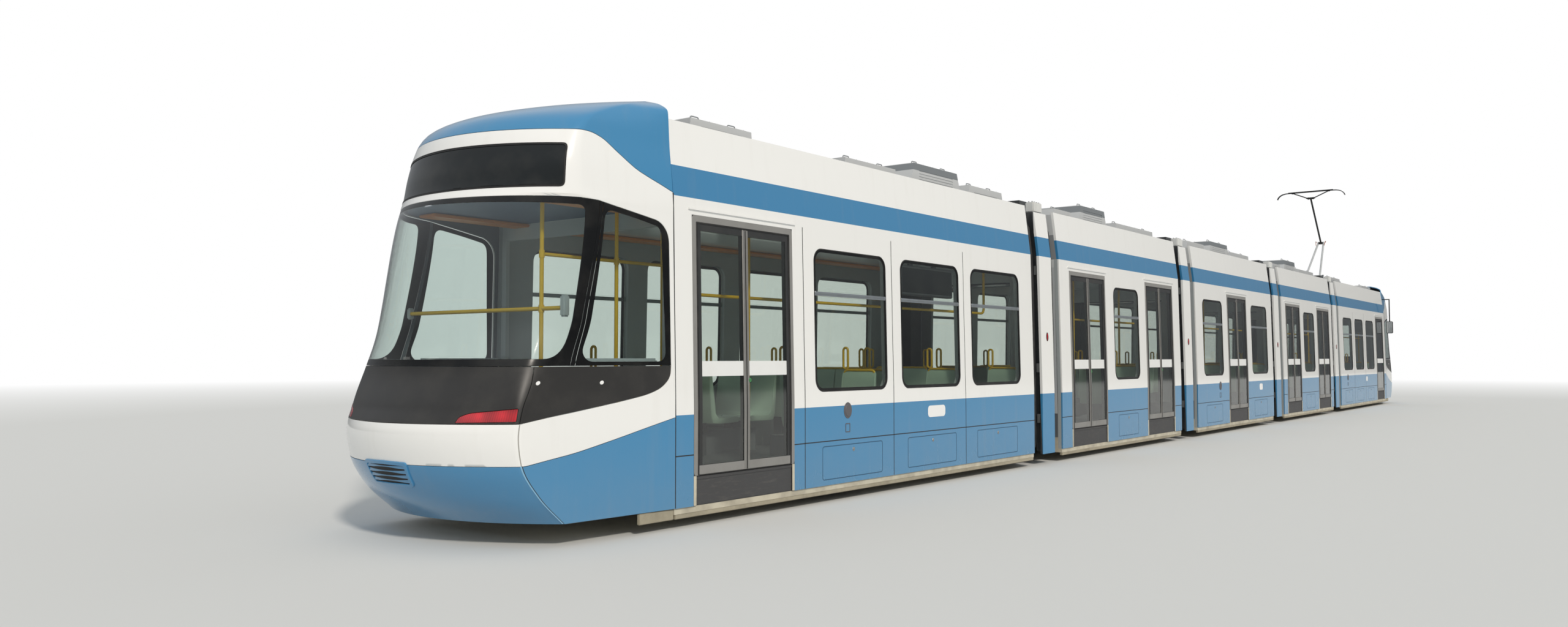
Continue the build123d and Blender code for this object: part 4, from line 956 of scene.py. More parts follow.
def group(name, meshes, material, body, smooth_angle=35):
    """One object from several meshes, riding on a body."""
    points, faces = [], []
    for more_points, more_faces in meshes:
        first = len(points)
        points += more_points
        faces += [tuple(i + first for i in face) for face in more_faces]
    piece = new_piece(name, points, faces, material)
    piece.data.shade_smooth()
    piece.data.set_sharp_from_angle(angle=math.radians(smooth_angle))
    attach(piece, body)
    return piece


def rubber(name, code, roughness=0.7):
    """Black rubber, grey where it is dusty."""
    material, tree = new_material(name)
    place = add_node(tree, "TexCoord"), "Object"
    dust = add_node(tree, "TexNoise", {"Vector": place, "Scale": 6.0, "Detail": 8.0, "Roughness": 0.65})
    share = add_node(tree, "MapRange", {"Value": dust, "From Min": 0.45, "From Max": 0.8, "To Max": 0.35})
    colour = add_node(tree, "Mix", {0: share, 6: linear(code), 7: linear("#5B5853")}, data_type="RGBA")
    # The moulded grain is too fine to show, so it is drawn 2.5 mm wide.
    grain = add_node(tree, "TexNoise", {"Vector": place, "Scale": 400.0, "Detail": 2.0})
    bump = add_node(tree, "Bump", {"Height": grain, "Strength": 0.15, "Distance": 0.0005})
    shader = add_node(tree, "BsdfPrincipled",
                      {"Base Color": (colour, 2), "Roughness": roughness, "Normal": bump})
    finish_material(tree, shader)
    return material


def drawn_metal(name, code, roughness=0.35):
    """Anodised extrusion: fine lines along its length and a dull film of dirt."""
    material, tree = new_material(name)
    place = add_node(tree, "TexCoord"), "Object"
    stretch = add_node(tree, "Mapping", {"Vector": place, "Scale": (3, 3, 900)})
    lines = add_node(tree, "TexNoise", {"Vector": (stretch, "Vector"), "Scale": 1.0, "Detail": 3.0})
    film = add_node(tree, "TexNoise", {"Vector": place, "Scale": 7.0, "Detail": 6.0})
    share = add_node(tree, "MapRange", {"Value": film, "From Min": 0.5, "From Max": 0.8, "To Max": 0.3})
    colour = add_node(tree, "Mix", {0: share, 6: linear(code), 7: linear("#6C6963")}, data_type="RGBA")
    rough = add_node(tree, "MapRange", {"Value": film, "To Min": roughness - 0.1, "To Max": roughness + 0.2})
    bump = add_node(tree, "Bump", {"Height": lines, "Strength": 0.1, "Distance": 0.0004})
    shader = add_node(tree, "BsdfPrincipled",
                      {"Base Color": (colour, 2), "Metallic": 0.75, "Roughness": rough, "Normal": bump})
    finish_material(tree, shader)
    return material


window_rubber = rubber("window_rubber", "#1A1A1B")
silver = drawn_metal("anodised_bar", "#9BA1A6")
bar_low, bar_high = 2.050, 2.090
for name in MODULES:
    rear = MODULE_ENDS[name][0]
    borders, lips, bars = [], [], []
    for hand, start, width in WINDOWS[name]:
        a, b = rear + start, rear + start + width
        outline = rounded_rectangle(a, b, window_low, window_high, window_corner)
        lip_in, border_in = (rounded_rectangle(a + less, b - less, window_low + less, window_high - less,
                                               window_corner - less) for less in (0.012, 0.036))
        lips.append(side_plate(hand, outline, lip_in, out=0.003, deep=0.012, edge=0.002))
        borders.append(side_plate(hand, lip_in, border_in, out=-0.0035, deep=0.001, edge=0.0003))
        for low, high, out, deep in ((bar_low, bar_high, 0.004, 0.01),
                                     (bar_low + 0.02, bar_low + 0.03, 0.009, 0.008)):
            bars.append(square_plate(hand, a + 0.013, b - 0.013, low, high, 0.004, 3, out, deep, 0.003))
    group(name + "_window_lips", lips, window_rubber, name, 25)
    group(name + "_window_borders", borders, frit_black, name, 25)
    group(name + "_window_bars", bars, silver, name, 25)


# Doors: pairs of glazed leaves in dark frames, in a grey outer frame, with a silver rubber-edged post
# between them. Under the leaves is a scuffed step panel between two cream jambs. The two plates on the glass
# are blank.
leaf_low, leaf_high, door_high = 0.430, 2.600, 2.670
# Doorways, all on the right: start from the section's rear end, width and number of leaves
DOORS = {
    "module_1": [(0.225, 1.420, 2)],
    "module_2": [(0.335, 1.320, 2), (3.345, 1.320, 2)],
    "module_3": [(1.915, 1.320, 2)],
    "module_4": [(0.310, 1.320, 2), (3.320, 1.320, 2)],
    "module_5": [(4.960, 1.150, 1)],
}


def scuffed_panel(name, code, mark):
    """Rubber-coated panel with pale scuffs that run mostly level."""
    material, tree = new_material(name)
    place = add_node(tree, "TexCoord"), "Object"
    stretch = add_node(tree, "Mapping", {"Vector": place, "Scale": (4, 4, 22)})
    scuffs = add_node(tree, "TexNoise",
                      {"Vector": (stretch, "Vector"), "Scale": 1.6, "Detail": 9.0, "Roughness": 0.7})
    share = add_node(tree, "MapRange", {"Value": scuffs, "From Min": 0.52, "From Max": 0.8, "To Max": 0.6})
    colour = add_node(tree, "Mix", {0: share, 6: linear(code), 7: linear(mark)}, data_type="RGBA")
    rough = add_node(tree, "MapRange", {"Value": scuffs, "To Min": 0.35, "To Max": 0.8})
    bump = add_node(tree, "Bump", {"Height": scuffs, "Strength": 0.25, "Distance": 0.0015})
    shader = add_node(tree, "BsdfPrincipled", {"Base Color": (colour, 2), "Roughness": rough, "Normal": bump})
    finish_material(tree, shader)
    return material


leaf_paint = weathered_paint("door_leaf_paint", "#2F3031", 0.35, "#55524D", 0.35)
frame_grey = weathered_paint("door_frame_grey", "#8B8A87", 0.42, "#5F5B55", 0.4)
post_grey = drawn_metal("door_post_extrusion", "#A3A19D", 0.4)
plate_white = weathered_paint("blank_plate_white", "#E9EAE8", 0.3, "#B9B7B0", 0.2)
jamb_cream = weathered_paint("jamb_cream_paint", sill_cream, 0.5, "#6F675A", 0.6)
step_panel = scuffed_panel("step_panel_coating", "#454546", "#6F6C67")
for name in MODULES:
    rear = MODULE_ENDS[name][0]
    give(name + "_doors", leaf_paint)
    frames, posts, lips, signs, steps, jambs = [], [], [], [], [], []
    for start, width, leaves in DOORS[name]:
        a, b = rear + start, rear + start + width
        outer = rounded_rectangle(a + 0.002, b - 0.002, leaf_low, door_high - 0.002, 0.03, 3)
        opening = rounded_rectangle(a + 0.066, b - 0.066, leaf_low + 0.003, leaf_high - 0.002, 0.006, 3)
        frames.append(side_plate(RIGHT, outer, opening, out=0.003, deep=0.006, edge=0.002))
        ledge = rounded_rectangle(a + 0.050, b - 0.050, leaf_low + 0.002, leaf_high + 0.012, 0.006, 3)
        lips.append(side_plate(RIGHT, ledge, opening, out=0.007, deep=0.006, edge=0.002))
        middle = (a + b) / 2
        spans = [(a + 0.076, b - 0.076)]
        if leaves == 2:
            spans = [(a + 0.076, middle - 0.002), (middle + 0.002, b - 0.076)]
            for low, high in ((middle - 0.039, middle - 0.002), (middle + 0.002, middle + 0.039)):
                posts.append(square_plate(RIGHT, low, high, leaf_low + 0.005, leaf_high - 0.005, 0.004,
                                          out=0.005, deep=0.008, edge=0.003))
            lips.append(square_plate(RIGHT, middle - 0.004, middle + 0.004, leaf_low + 0.01, leaf_high - 0.01,
                                     0.002, 2, out=0.009))
        frames.append(square_plate(RIGHT, a + 0.068, b - 0.068, leaf_low + 0.006, leaf_low + 0.084, 0.004,
                                   out=0.002, deep=0.005, edge=0.002))
        for low, high in spans:
            signs.append(square_plate(RIGHT, low + 0.030, high - 0.030, 1.276, 1.408, 0.012, 4,
                                      out=-0.003, deep=0.002, edge=0.0006))
        steps.append(square_plate(RIGHT, a + 0.036, b - 0.036, 0.182, 0.424, 0.008, out=-0.010, deep=0.003))
        steps.append(square_plate(RIGHT, a + 0.036, b - 0.036, 0.395, 0.424, 0.006, out=-0.004, edge=0.003))
        for low in (a + 0.001, b - 0.035):
            jambs.append(square_plate(RIGHT, low, low + 0.034, 0.178, 0.429, 0.004, out=0.002, deep=0.003))
    group(name + "_door_frames", frames, frame_grey, name)
    group(name + "_door_lips", lips, window_rubber, name)
    if posts:
        group(name + "_door_posts", posts, post_grey, name)
    group(name + "_blank_plates", signs, plate_white, name)
    group(name + "_step_panels", steps, step_panel, name)
    group(name + "_jambs", jambs, jamb_cream, name)


# Joints between the side panels: dark sealant in the upright joints and along the joint over the skirt
# covers, and a fine shadow line round each hinged cover. The joints are a few millimetres wide and lie
# flush.
PANEL_JOINTS = {"module_1": [1.815, 3.420, 5.025], "module_5": [1.750, 3.270]}
NOSE_JOINTS = {"module_1": -16.0, "module_5": 16.0}
joint_low, joint_high, lower_joint, joint_half = 0.180, 2.704, 0.610, 0.005
cover_inset, cover_low, cover_high, cover_corner, cover_line = 0.110, 0.228, 0.562, 0.030, 0.008
cover_shadow = satin_panel("cover_shadow_line", "#234E6B", 0.5, 0.0)


def flush_strip(hand, x0, x1, z0, z1):
    return square_plate(hand, x0, x1, z0, z1, 0.001, 1, out=0.0007, deep=0.004, edge=0.0003)


for name in MODULES:
    rear, front = MODULE_ENDS[name]
    joints, outlines = [], []
    for hand in (RIGHT, LEFT):
        for start in PANEL_JOINTS.get(name, []):
            joints.append(flush_strip(hand, rear + start - joint_half, rear + start + joint_half, joint_low,
                                      joint_high))
        if name in NOSE_JOINTS:
            x = NOSE_JOINTS[name]
            joints.append(flush_strip(hand, x - joint_half, x + joint_half, joint_low, band_low + 0.020))
        doorways = [x for start, width, leaves in DOORS[name] if hand == RIGHT
                    for x in (rear + start, rear + start + width)]
        ends = [rear] + doorways + [front]
        for a, b in zip(ends[::2], ends[1::2]):
            if b - a > 0.15:
                joints.append(flush_strip(hand, a + 0.002, b - 0.002, lower_joint - joint_half,
                                          lower_joint + joint_half))
    for hand, start, width in WINDOWS[name]:
        a, b = rear + start + cover_inset, rear + start + width - cover_inset
        outer = rounded_rectangle(a, b, cover_low, cover_high, cover_corner)
        inner = rounded_rectangle(a + cover_line, b - cover_line, cover_low + cover_line,
                                  cover_high - cover_line, cover_corner - cover_line)
        outlines.append(side_plate(hand, outer, inner, out=0.0006, deep=0.004, edge=0.0003))
    group(name + "_panel_joints", joints, joint_seal, name)
    group(name + "_cover_outlines", outlines, cover_shadow, name)


# Sill: the lower, set-back flange of the welded sill, in cream paint made darker, partly as painted shade
# under the sill's top and partly by dirt.
# It runs along both sides under the panels and ends a little way under each nose.
sill_flange_low, sill_flange_high, sill_reach = 0.084, 0.127, 0.40


def handed(hand, *places):
    """Places across the tram taken to one side, lowest first."""
    return sorted(hand * y for y in places)


def box_mesh(x0, x1, y0, y1, z0, z1, edge=0.004):
    """Points and faces of a box with its edges chamfered."""
    low, high = (x0, y0, z0), (x1, y1, z1)
    made = bmesh.new()
    bmesh.ops.create_cube(made, size=1)
    for vert in made.verts:
        vert.co = Vector([(low[k] + high[k]) / 2 + vert.co[k] * (high[k] - low[k]) for k in range(3)])
    if edge:
        bmesh.ops.bevel(made, geom=made.edges[:], offset=edge, segments=2, affect="EDGES")
    made.verts.index_update()
    mesh = ([v.co.copy() for v in made.verts], [tuple(v.index for v in f.verts) for f in made.faces])
    made.free()
    return mesh


# Painted shade: the flange's cream is darker than the sill's top as if shaded, with patches of dirt on it.
sill_shade_and_dirt = weathered_paint("sill_paint_with_painted_shade", "#A79F8A", 0.6, "#5F584B", 0.7)
for name in MODULES:
    rear, front = MODULE_ENDS[name]
    flanges = []
    for hand in (RIGHT, LEFT):
        flanges.append(box_mesh(rear + 0.01, front - 0.01, *handed(hand, 1.150, 1.188), sill_flange_low,
                                sill_flange_high, 0.005))
        if name in NOSE_JOINTS:
            x = NOSE_JOINTS[name]
            under_nose = sorted((x, x + math.copysign(sill_reach, x)))
            flanges.append(box_mesh(*under_nose, *handed(hand, 1.150, 1.180), sill_flange_low, 0.173, 0.005))
    group(name + "_sill_flanges", flanges, sill_shade_and_dirt, name)


# Side displays: dark housings hung from the ceiling behind the top pane of one window near each end.
# The face is black glass, and it is blank.
SIDE_DISPLAYS = [("module_1", 3.595, 1.310), ("module_5", 1.965, 1.105)]
display_low, display_high = 2.135, 2.470
housing_grey = satin_panel("display_housing_plastic", "#3A3D40", 0.55)
for number, (name, start, width) in enumerate(SIDE_DISPLAYS, 1):
    a, b = MODULE_ENDS[name][0] + start + 0.075, MODULE_ENDS[name][0] + start + width - 0.075
    middle = (a + b) / 2
    cases = [box_mesh(a, b, -1.140, -1.060, display_low, display_high, 0.010),
             box_mesh(middle - 0.30, middle - 0.22, -1.075, -1.050, display_high - 0.06, 2.690, 0.003),
             box_mesh(middle + 0.22, middle + 0.30, -1.075, -1.050, display_high - 0.06, 2.690, 0.003)]
    group("side_display_case_%d" % number, cases, housing_grey, name)
    face = box_mesh(a + 0.030, b - 0.030, -1.1435, -1.130, display_low + 0.030, display_high - 0.030, 0.002)
    group("side_display_face_%d" % number, [face], display_glass, name)


# Portals: a hoop over each middle axle with a lacquered cover on each side, a red marker lamp on the right
# cover and a bolted box at each top corner. Behind the covers the steel is painted dark grey.
PORTALS = {"portal_1": -8.65, "portal_2": -2.75, "portal_3": 3.30, "portal_4": 9.15}


def portal_finish():
    """Body colours on the covers, and dark grey paint on the steel nearer the middle."""
    material, tree = new_material("portal_finish")
    place = add_node(tree, "TexCoord"), "Object"
    parts = add_node(tree, "SeparateXYZ", {"Vector": place})
    cover_lean, cover_half = 0.034, 1.1985
    away = add_node(tree, "Math", {0: (parts, "Y")}, operation="ABSOLUTE")
    lean = add_node(tree, "Math", {0: (parts, "Z"), 1: cover_lean, 2: away}, operation="MULTIPLY_ADD")
    outside = add_node(tree, "Math", {0: lean, 1: cover_half}, operation="GREATER_THAN")
    height = add_node(tree, "Math", {0: (parts, "Z"), 1: colour_reach}, operation="DIVIDE")
    paint = height_bands(tree, height, BODY_BANDS)
    dirt = add_node(tree, "TexNoise", {"Vector": place, "Scale": 4.0, "Detail": 8.0})
    share = add_node(tree, "MapRange", {"Value": dirt, "From Min": 0.48, "From Max": 0.8, "To Max": 0.3})
    steel = add_node(tree, "Mix", {0: share, 6: linear("#3A3C3E"), 7: linear("#6A655C")}, data_type="RGBA")
    colour = add_node(tree, "Mix", {0: outside, 6: (steel, 2), 7: paint}, data_type="RGBA")
    rough = add_node(tree, "MapRange", {"Value": outside, "To Min": 0.6, "To Max": 0.25})
    bump = add_node(tree, "Bump", {"Height": dirt, "Strength": 0.1, "Distance": 0.002})
    shader = add_node(tree, "BsdfPrincipled",
                      {"Base Color": (colour, 2), "Roughness": rough, "Coat Weight": 0.3,
                       "Coat Roughness": 0.06, "Normal": bump})
    finish_material(tree, shader)
    return material


def tube_mesh(path, radius, sides=10, closed_path=False):
    """Points and faces of a round tube along a path of points, with closed ends."""
    path = [Vector(p) for p in path]
    points, faces = [], []
    count = len(path)
    normal = None
    for i, p in enumerate(path):
        before = path[i - 1] if i or closed_path else path[0]
        after = path[(i + 1) % count] if i < count - 1 or closed_path else path[-1]
        along = (after - before).normalized()
        if normal is None:
            normal = along.orthogonal().normalized()
        normal = (normal - along * normal.dot(along)).normalized()
        other = along.cross(normal)
        for k in range(sides):
            turn = 2 * math.pi * k / sides
            points.append(p + (normal * math.cos(turn) + other * math.sin(turn)) * radius)
    spans = count if closed_path else count - 1
    for i in range(spans):
        faces += ring_faces(i * sides, ((i + 1) % count) * sides, sides)
    if not closed_path:
        faces += [tuple(reversed(range(sides))), tuple(range((count - 1) * sides, count * sides))]
    return points, faces


def upright_tube(x, y, low, high, radius, sides):
    return tube_mesh([(x, y, low), (x, y, high)], radius, sides)


def oval_line(x, z, half_width, half_height, count=28):
    turns = [2 * math.pi * k / count for k in range(count)]
    return [Vector((x + half_width * math.cos(turn), z + half_height * math.sin(turn))) for turn in turns]


portal_paint = portal_finish()
box_white = weathered_paint("box_white_paint", "#DADBD8", 0.45, "#8C8980", 0.4)
bolt_zinc = drawn_metal("zinc_bolts", "#9A9C9C", 0.4)
for name, x in PORTALS.items():
    give(name, portal_paint)
    lamp_rim = side_plate(RIGHT, oval_line(x, 1.72, 0.028, 0.058), oval_line(x, 1.72, 0.021, 0.051),
                          out=0.008, deep=0.009, edge=0.002)
    group(name + "_marker_rim", [lamp_rim], window_rubber, name)
    glass = [side_plate(RIGHT, oval_line(x, 1.72, 0.021, 0.051), out=0.007, deep=0.008, edge=0.004),
             side_plate(RIGHT, oval_line(x, 1.72, 0.013, 0.040), out=0.011, deep=0.006, edge=0.003)]
    group(name + "_marker_lamp", glass, red_lens, name)
    cases, bolts, brackets = [], [], []
    for hand in (RIGHT, LEFT):
        y_in, y_out = handed(hand, 0.94, 1.065)
        cases.append(box_mesh(x - 0.135, x + 0.135, y_in, y_out, 3.425, 3.565, 0.012))
        for dx in (-0.10, -0.033, 0.033, 0.10):
            for y in (0.98, 1.030):
                bolts.append(upright_tube(x + dx, hand * y, 3.560, 3.577, 0.010, 6))
        for z in (0.62, 1.30, 2.62):
            for dx in (-0.172, 0.172):
                y_in, y_out = handed(hand, side_half(z) - 0.085, side_half(z) - 0.036)
                brackets.append(box_mesh(x + dx - 0.012, x + dx + 0.012, y_in, y_out, z - 0.06, z + 0.06,
                                         0.003))
    group(name + "_roof_boxes", cases, box_white, name)
    group(name + "_box_bolts", bolts, bolt_zinc, name)
    group(name + "_cover_brackets", brackets, bolt_zinc, name)


# Bellows: two folded hoods of coated cloth at each portal, clamped to the section and to the portal's hoop.
# Each fold is sewn in a thin aluminium rail.
bellows_cloth = rubber("bellows_cloth", "#202123", 0.62)
HOOD_LINE = [(0.985, 0.215), (1.095, 0.235), (1.098, 0.6), (1.098, 1.2), (1.090, 1.9), (1.082, 2.45),
             (1.065, 2.85), (1.030, 3.20), (0.960, 3.335), (0.840, 3.375), (0.42, 3.380), (0.0, 3.382)]
folds, fold_deep, fold_samples = 5, 0.034, 6
portal_half_width, gap_half_width = 0.150, 0.450


def hood_mesh(low, high):
    """Folded arch from one x to another, as a thin closed skin."""
    half = rounded_hood_line()
    line = half + [Vector((-p.x, p.y)) for p in reversed(half[:-1])]
    count = folds * fold_samples
    points, faces = [], []
    for deeper in (0.0, 0.004):
        for i in range(count + 1):
            phase = (i / fold_samples) % 1.0
            dip = fold_deep * (1 - abs(math.sin(math.pi * phase))) + deeper
            x = low + (high - low) * i / count
            for k, p in enumerate(line):
                along = (line[min(k + 1, len(line) - 1)] - line[max(k - 1, 0)]).normalized()
                q = p - Vector((along.y, -along.x)) * dip
                points.append(Vector((x, q.x, q.y)))
    wide, rows = len(line), count + 1
    skin = wide * rows
    for i in range(count):
        for k in range(wide - 1):
            a, b = i * wide + k, (i + 1) * wide + k
            faces.append((a, b, b + 1, a + 1))
            faces.append((skin + a + 1, skin + b + 1, skin + b, skin + a))
    for i in range(count):
        a, b = i * wide, (i + 1) * wide
        faces.append((a, skin + a, skin + b, b))
        a, b = a + wide - 1, b + wide - 1
        faces.append((b, skin + b, skin + a, a))
    for k in range(wide - 1):
        faces.append((k, k + 1, skin + k + 1, skin + k))
        a = count * wide + k
        faces.append((a + 1, a, skin + a, skin + a + 1))
    return points, faces


def rounded_hood_line():
    """Right half of the hood's arch, from its foot to the middle of the top, in even steps."""
    corners = [Vector((y, z)) for y, z in HOOD_LINE]
    line = []
    for a, b in zip(corners, corners[1:]):
        steps = max(1, int((b - a).length / 0.12))
        line += [a.lerp(b, k / steps) for k in range(steps)]
    return line + [corners[-1]]


for name, x in PORTALS.items():
    number = int(name[-1])
    for step in (-1, 1):
        near, far = x + step * (portal_half_width + 0.004), x + step * (gap_half_width - 0.004)
        low, high = sorted((near, far))
        points, faces = hood_mesh(low, high)
        hood = new_piece("bellows_%d_%s" % (number, "rear" if step < 0 else "front"), points, faces,
                         bellows_cloth)
        bend_normals = bmesh.new()
        bend_normals.from_mesh(hood.data)
        bmesh.ops.recalc_face_normals(bend_normals, faces=bend_normals.faces)
        bend_normals.to_mesh(hood.data)
        bend_normals.free()
        hood.data.shade_smooth()
        hood.data.set_sharp_from_angle(angle=math.radians(50))
        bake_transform(hood)
        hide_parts("bellows_%d" % number)


# Interior: moulded pale green seats with yellow top rails and loop handles, yellow poles, and orange ceiling
# strips. The shells are glass-fibre with a low sheen, and the tubes are powder coated.
seat_inner, seat_width, pole_y = 1.108, 0.430, -0.700
END_AXLE_X = 13.355
floor_top, wheel_box_top = 0.350, 0.640
# Starts of the seats from the section's rear end, with a minus where they face back
SEAT_ROWS = {
    "module_1": {LEFT: [0.70, -1.50, 2.35, -2.95, 3.90, -4.75, 5.50, -6.35],
                 RIGHT: [2.35, -2.95, 3.90, -4.75, 5.50, -6.35]},
    "module_2": {LEFT: [0.85, -1.65, 2.50, -3.35, 4.20], RIGHT: [2.05, -2.95]},
    "module_3": {LEFT: [0.75, -1.60, 2.50, -3.40, 4.40], RIGHT: [0.65, -1.50, 3.70, -4.60]},
    "module_4": {LEFT: [0.85, -1.65, 2.50, -3.35, 4.15], RIGHT: [2.05, -2.90]},
    "module_5": {LEFT: [0.75, -1.60, 2.35, 3.48, -4.04], RIGHT: [0.75, -1.60, 2.35, 3.48, -4.04]},
}
POLE_ROWS = {"module_1": [0.35, 1.56], "module_2": [0.42, 1.57, 3.43, 4.58], "module_3": [2.0, 3.15],
             "module_4": [0.40, 1.55, 3.40, 4.55], "module_5": [5.04, 6.03]}
SEAT_SIDE = [(0.425, 0.735), (0.430, 0.770), (0.400, 0.790), (0.20, 0.778), (0.085, 0.782), (0.035, 0.830),
             (0.010, 1.0), (-0.018, 1.18), (-0.030, 1.265), (-0.045, 1.290), (-0.062, 1.280), (-0.060, 1.15),
             (-0.045, 0.95), (-0.030, 0.80), (-0.005, 0.735), (0.10, 0.725), (0.30, 0.728)]


def bent_path(corners, radius, steps=6):
    """Path through corners with each bend rounded."""
    corners = [Vector(p) for p in corners]
    path = [corners[0]]
    for before, p, after in zip(corners, corners[1:], corners[2:]):
        path += rounded_corner(before, p, after, radius, 0.45, steps)
    return path + [corners[-1]]


def seat_mesh(x, facing, y0, y1):
    """Moulded bench from its side outline, narrowed and rounded towards both edges."""
    points, faces = [], []
    ring = len(SEAT_SIDE)
    middle = sum(px for px, pz in SEAT_SIDE) / ring, sum(pz for px, pz in SEAT_SIDE) / ring
    stations = [(0.0, 0.86), (0.012, 0.955), (0.035, 1.0), (0.5, 1.0), (0.965, 1.0), (0.988, 0.955),
                (1.0, 0.86)]
    for along, scale in stations:
        for px, pz in SEAT_SIDE:
            thin = 1 - (1 - scale) * 0.25
            points.append(Vector((x + facing * (middle[0] + (px - middle[0]) * thin), y0 + (y1 - y0) * along,
                                  middle[1] + (pz - middle[1]) * thin)))
    for i in range(len(stations) - 1):
        near, far = (i * ring, (i + 1) * ring)[::facing]
        faces += ring_faces(near, far, ring)
    ends = [tuple(reversed(range(ring))), tuple(range((len(stations) - 1) * ring, len(stations) * ring))]
    faces += ends if facing > 0 else [tuple(reversed(face)) for face in ends]
    return points, faces


seat_green = weathered_paint("seat_shell_plastic", "#B4CBB8", 0.4, "#8FA394", 0.2)
foot_grey = weathered_paint("seat_foot_paint", "#4B4F52", 0.5)
tube_yellow = satin_panel("yellow_powder_coat", "#E3B51C", 0.32, 0.0)
trim_orange = satin_panel("orange_ceiling_strip", "#E08A2C", 0.4, 0.0)
for name in MODULES:
    rear, front = MODULE_ENDS[name]
    shells, rails, feet = [], [], []
    for hand, mark in [(hand, mark) for hand, marks in SEAT_ROWS[name].items() for mark in marks]:
        facing = 1 if mark > 0 else -1
        x = rear + abs(mark) - facing * 0.215
        seats = 2 if hand == LEFT else 1
        y_inner = hand * (seat_inner - seat_width * seats)
        y0, y1 = sorted((hand * seat_inner, y_inner))
        for k in range(seats):
            shells.append(seat_mesh(x, facing, y0 + k * seat_width + 0.006,
                                    y0 + (k + 1) * seat_width - 0.006))
        over_wheels = abs(abs(x) - END_AXLE_X) < 0.40
        stand = wheel_box_top if over_wheels else floor_top
        feet.append(box_mesh(*sorted((x + facing * 0.09, x + facing * 0.30)), (y0 + y1) / 2 - 0.06,
                             (y0 + y1) / 2 + 0.06, stand, 0.733))
        top = x - facing * 0.047
        rails.append(tube_mesh(bent_path([(top, y0 + 0.02, 1.20), (top, y0 + 0.02, 1.302),
                                          (top, y1 - 0.02, 1.302), (top, y1 - 0.02, 1.20)], 0.05), 0.014))
        grip = -hand * 0.04 + y_inner + hand * 0.075
        loop = rounded_rectangle(-0.030, 0.030, 1.315, 1.545, 0.030, 5)
        rails.append(tube_mesh([(top, grip + p.x, p.y) for p in loop], 0.013, 8, closed_path=True))
    for start in POLE_ROWS[name]:
        x = rear + start
        rails.append(upright_tube(x, pole_y, floor_top, 2.70, 0.017, 14))
        rails.append(upright_tube(x, pole_y, floor_top, 0.362, 0.032, 14))
    top_rail = bent_path([(rear + 0.45, pole_y, 2.69), (rear + 0.45, pole_y, 2.02),
                          (front - 0.45, pole_y, 2.02), (front - 0.45, pole_y, 2.69)], 0.08)
    rails.append(tube_mesh(top_rail, 0.016, 12))
    benches = group(name + "_benches", shells, seat_green, name, 60)
    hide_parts(name + "_seats")
    group(name + "_grab_rails", rails, tube_yellow, name)
    group(name + "_seat_feet", feet, foot_grey, name)
    strips = [box_mesh(rear + 0.10, front - 0.10, y - 0.11, y + 0.11, 2.672, 2.697, 0.008)
              for y in (LEFT * 0.86, RIGHT * 0.86)]
    group(name + "_ceiling_strips", strips, trim_orange, name)


# Tail saloon: a bar across the back window, two upright poles, ledges under the side windows and a wide
# orange strip. The bar is clamped to the pole and to a grey bracket on the window pillar.
tail_bar_x, tail_bar_z, tail_pole_y = -17.05, 1.825, -0.73
door_pole_x, rail_high = -16.21, 2.26
ledge_grey = satin_panel("pale_ledge_moulding", "#B9BEC2", 0.45)


def cross_tube(x, y0, y1, z, radius, sides):
    return tube_mesh([(x, y0, z), (x, y1, z)], radius, sides)


rails = [cross_tube(tail_bar_x, -0.985, 1.02, tail_bar_z, 0.017, 14),
         upright_tube(tail_bar_x, tail_pole_y, floor_top, 2.71, 0.017, 14),
         upright_tube(door_pole_x, pole_y, floor_top, 2.71, 0.017, 14),
         tube_mesh(bent_path([(tail_bar_x, tail_pole_y, rail_high), (door_pole_x, pole_y, rail_high),
                              (-15.66, pole_y, rail_high)], 0.02), 0.015, 12)]
for x, y, z in ((tail_bar_x, tail_pole_y, tail_bar_z), (tail_bar_x, tail_pole_y, rail_high),
                (door_pole_x, pole_y, rail_high)):
    rails.append(upright_tube(x, y, z - 0.03, z + 0.03, 0.023, 14))
group("tail_grab_rails", rails, tube_yellow, "module_1")
# Brackets of the bar: y from and to, reach below and above it, broken edge
BAR_ENDS = [(-1.035, -0.975, 0.07, 0.10, 0.012), (1.015, 1.045, 0.05, 0.05, 0.010)]
ends = [box_mesh(tail_bar_x - 0.03, tail_bar_x + 0.03, y0, y1, tail_bar_z - below, tail_bar_z + above, edge)
        for y0, y1, below, above, edge in BAR_ENDS]
ledges = [box_mesh(-16.93, -16.10, *handed(hand, 1.095, 0.975), 1.375, 1.432, 0.018)
          for hand in (RIGHT, LEFT)]
ledges.append(box_mesh(-17.52, -17.34, -0.80, 0.80, 1.36, 1.40, 0.015))
group("tail_ledges", ends + ledges, ledge_grey, "module_1")
strips = [box_mesh(-17.05, -15.98, *handed(hand, 0.93, 0.70), 2.672, 2.700, 0.008) for hand in (RIGHT, LEFT)]
group("tail_ceiling_strips", strips, trim_orange, "module_1")


# Small fittings on the body: catches in the skirt covers, an oval socket cover with its plate, blank white
# plates, round reflectors on the black panels and door buttons. All are pressed or moulded parts fixed with
# screws.
SOCKET_COVERS = [("module_1", -13.46, 0.903), ("module_3", -0.95, 0.903), ("module_5", 10.45, 0.903)]
BLANK_PLATES = [("module_1", -11.86, -11.47), ("module_3", 1.75, 1.98), ("module_5", 12.90, 13.12)]
NOSE_DOTS = [("side", 1.394, 1.247), ("side", 0.790, 1.242)]
socket_grey = satin_panel("grey_socket_cover", "#5D5C60", 0.5)
sticker_white = satin_panel("blank_white_film", "#F2F2F0", 0.4, 0.0)
catch_metal = drawn_metal("turned_catch", "#A9ABAB", 0.3)
button_green = satin_panel("door_button_green", "#3E7F4C", 0.35, 0.0)


def round_line(x, z, radius, count=24):
    return oval_line(x, z, radius, radius, count)


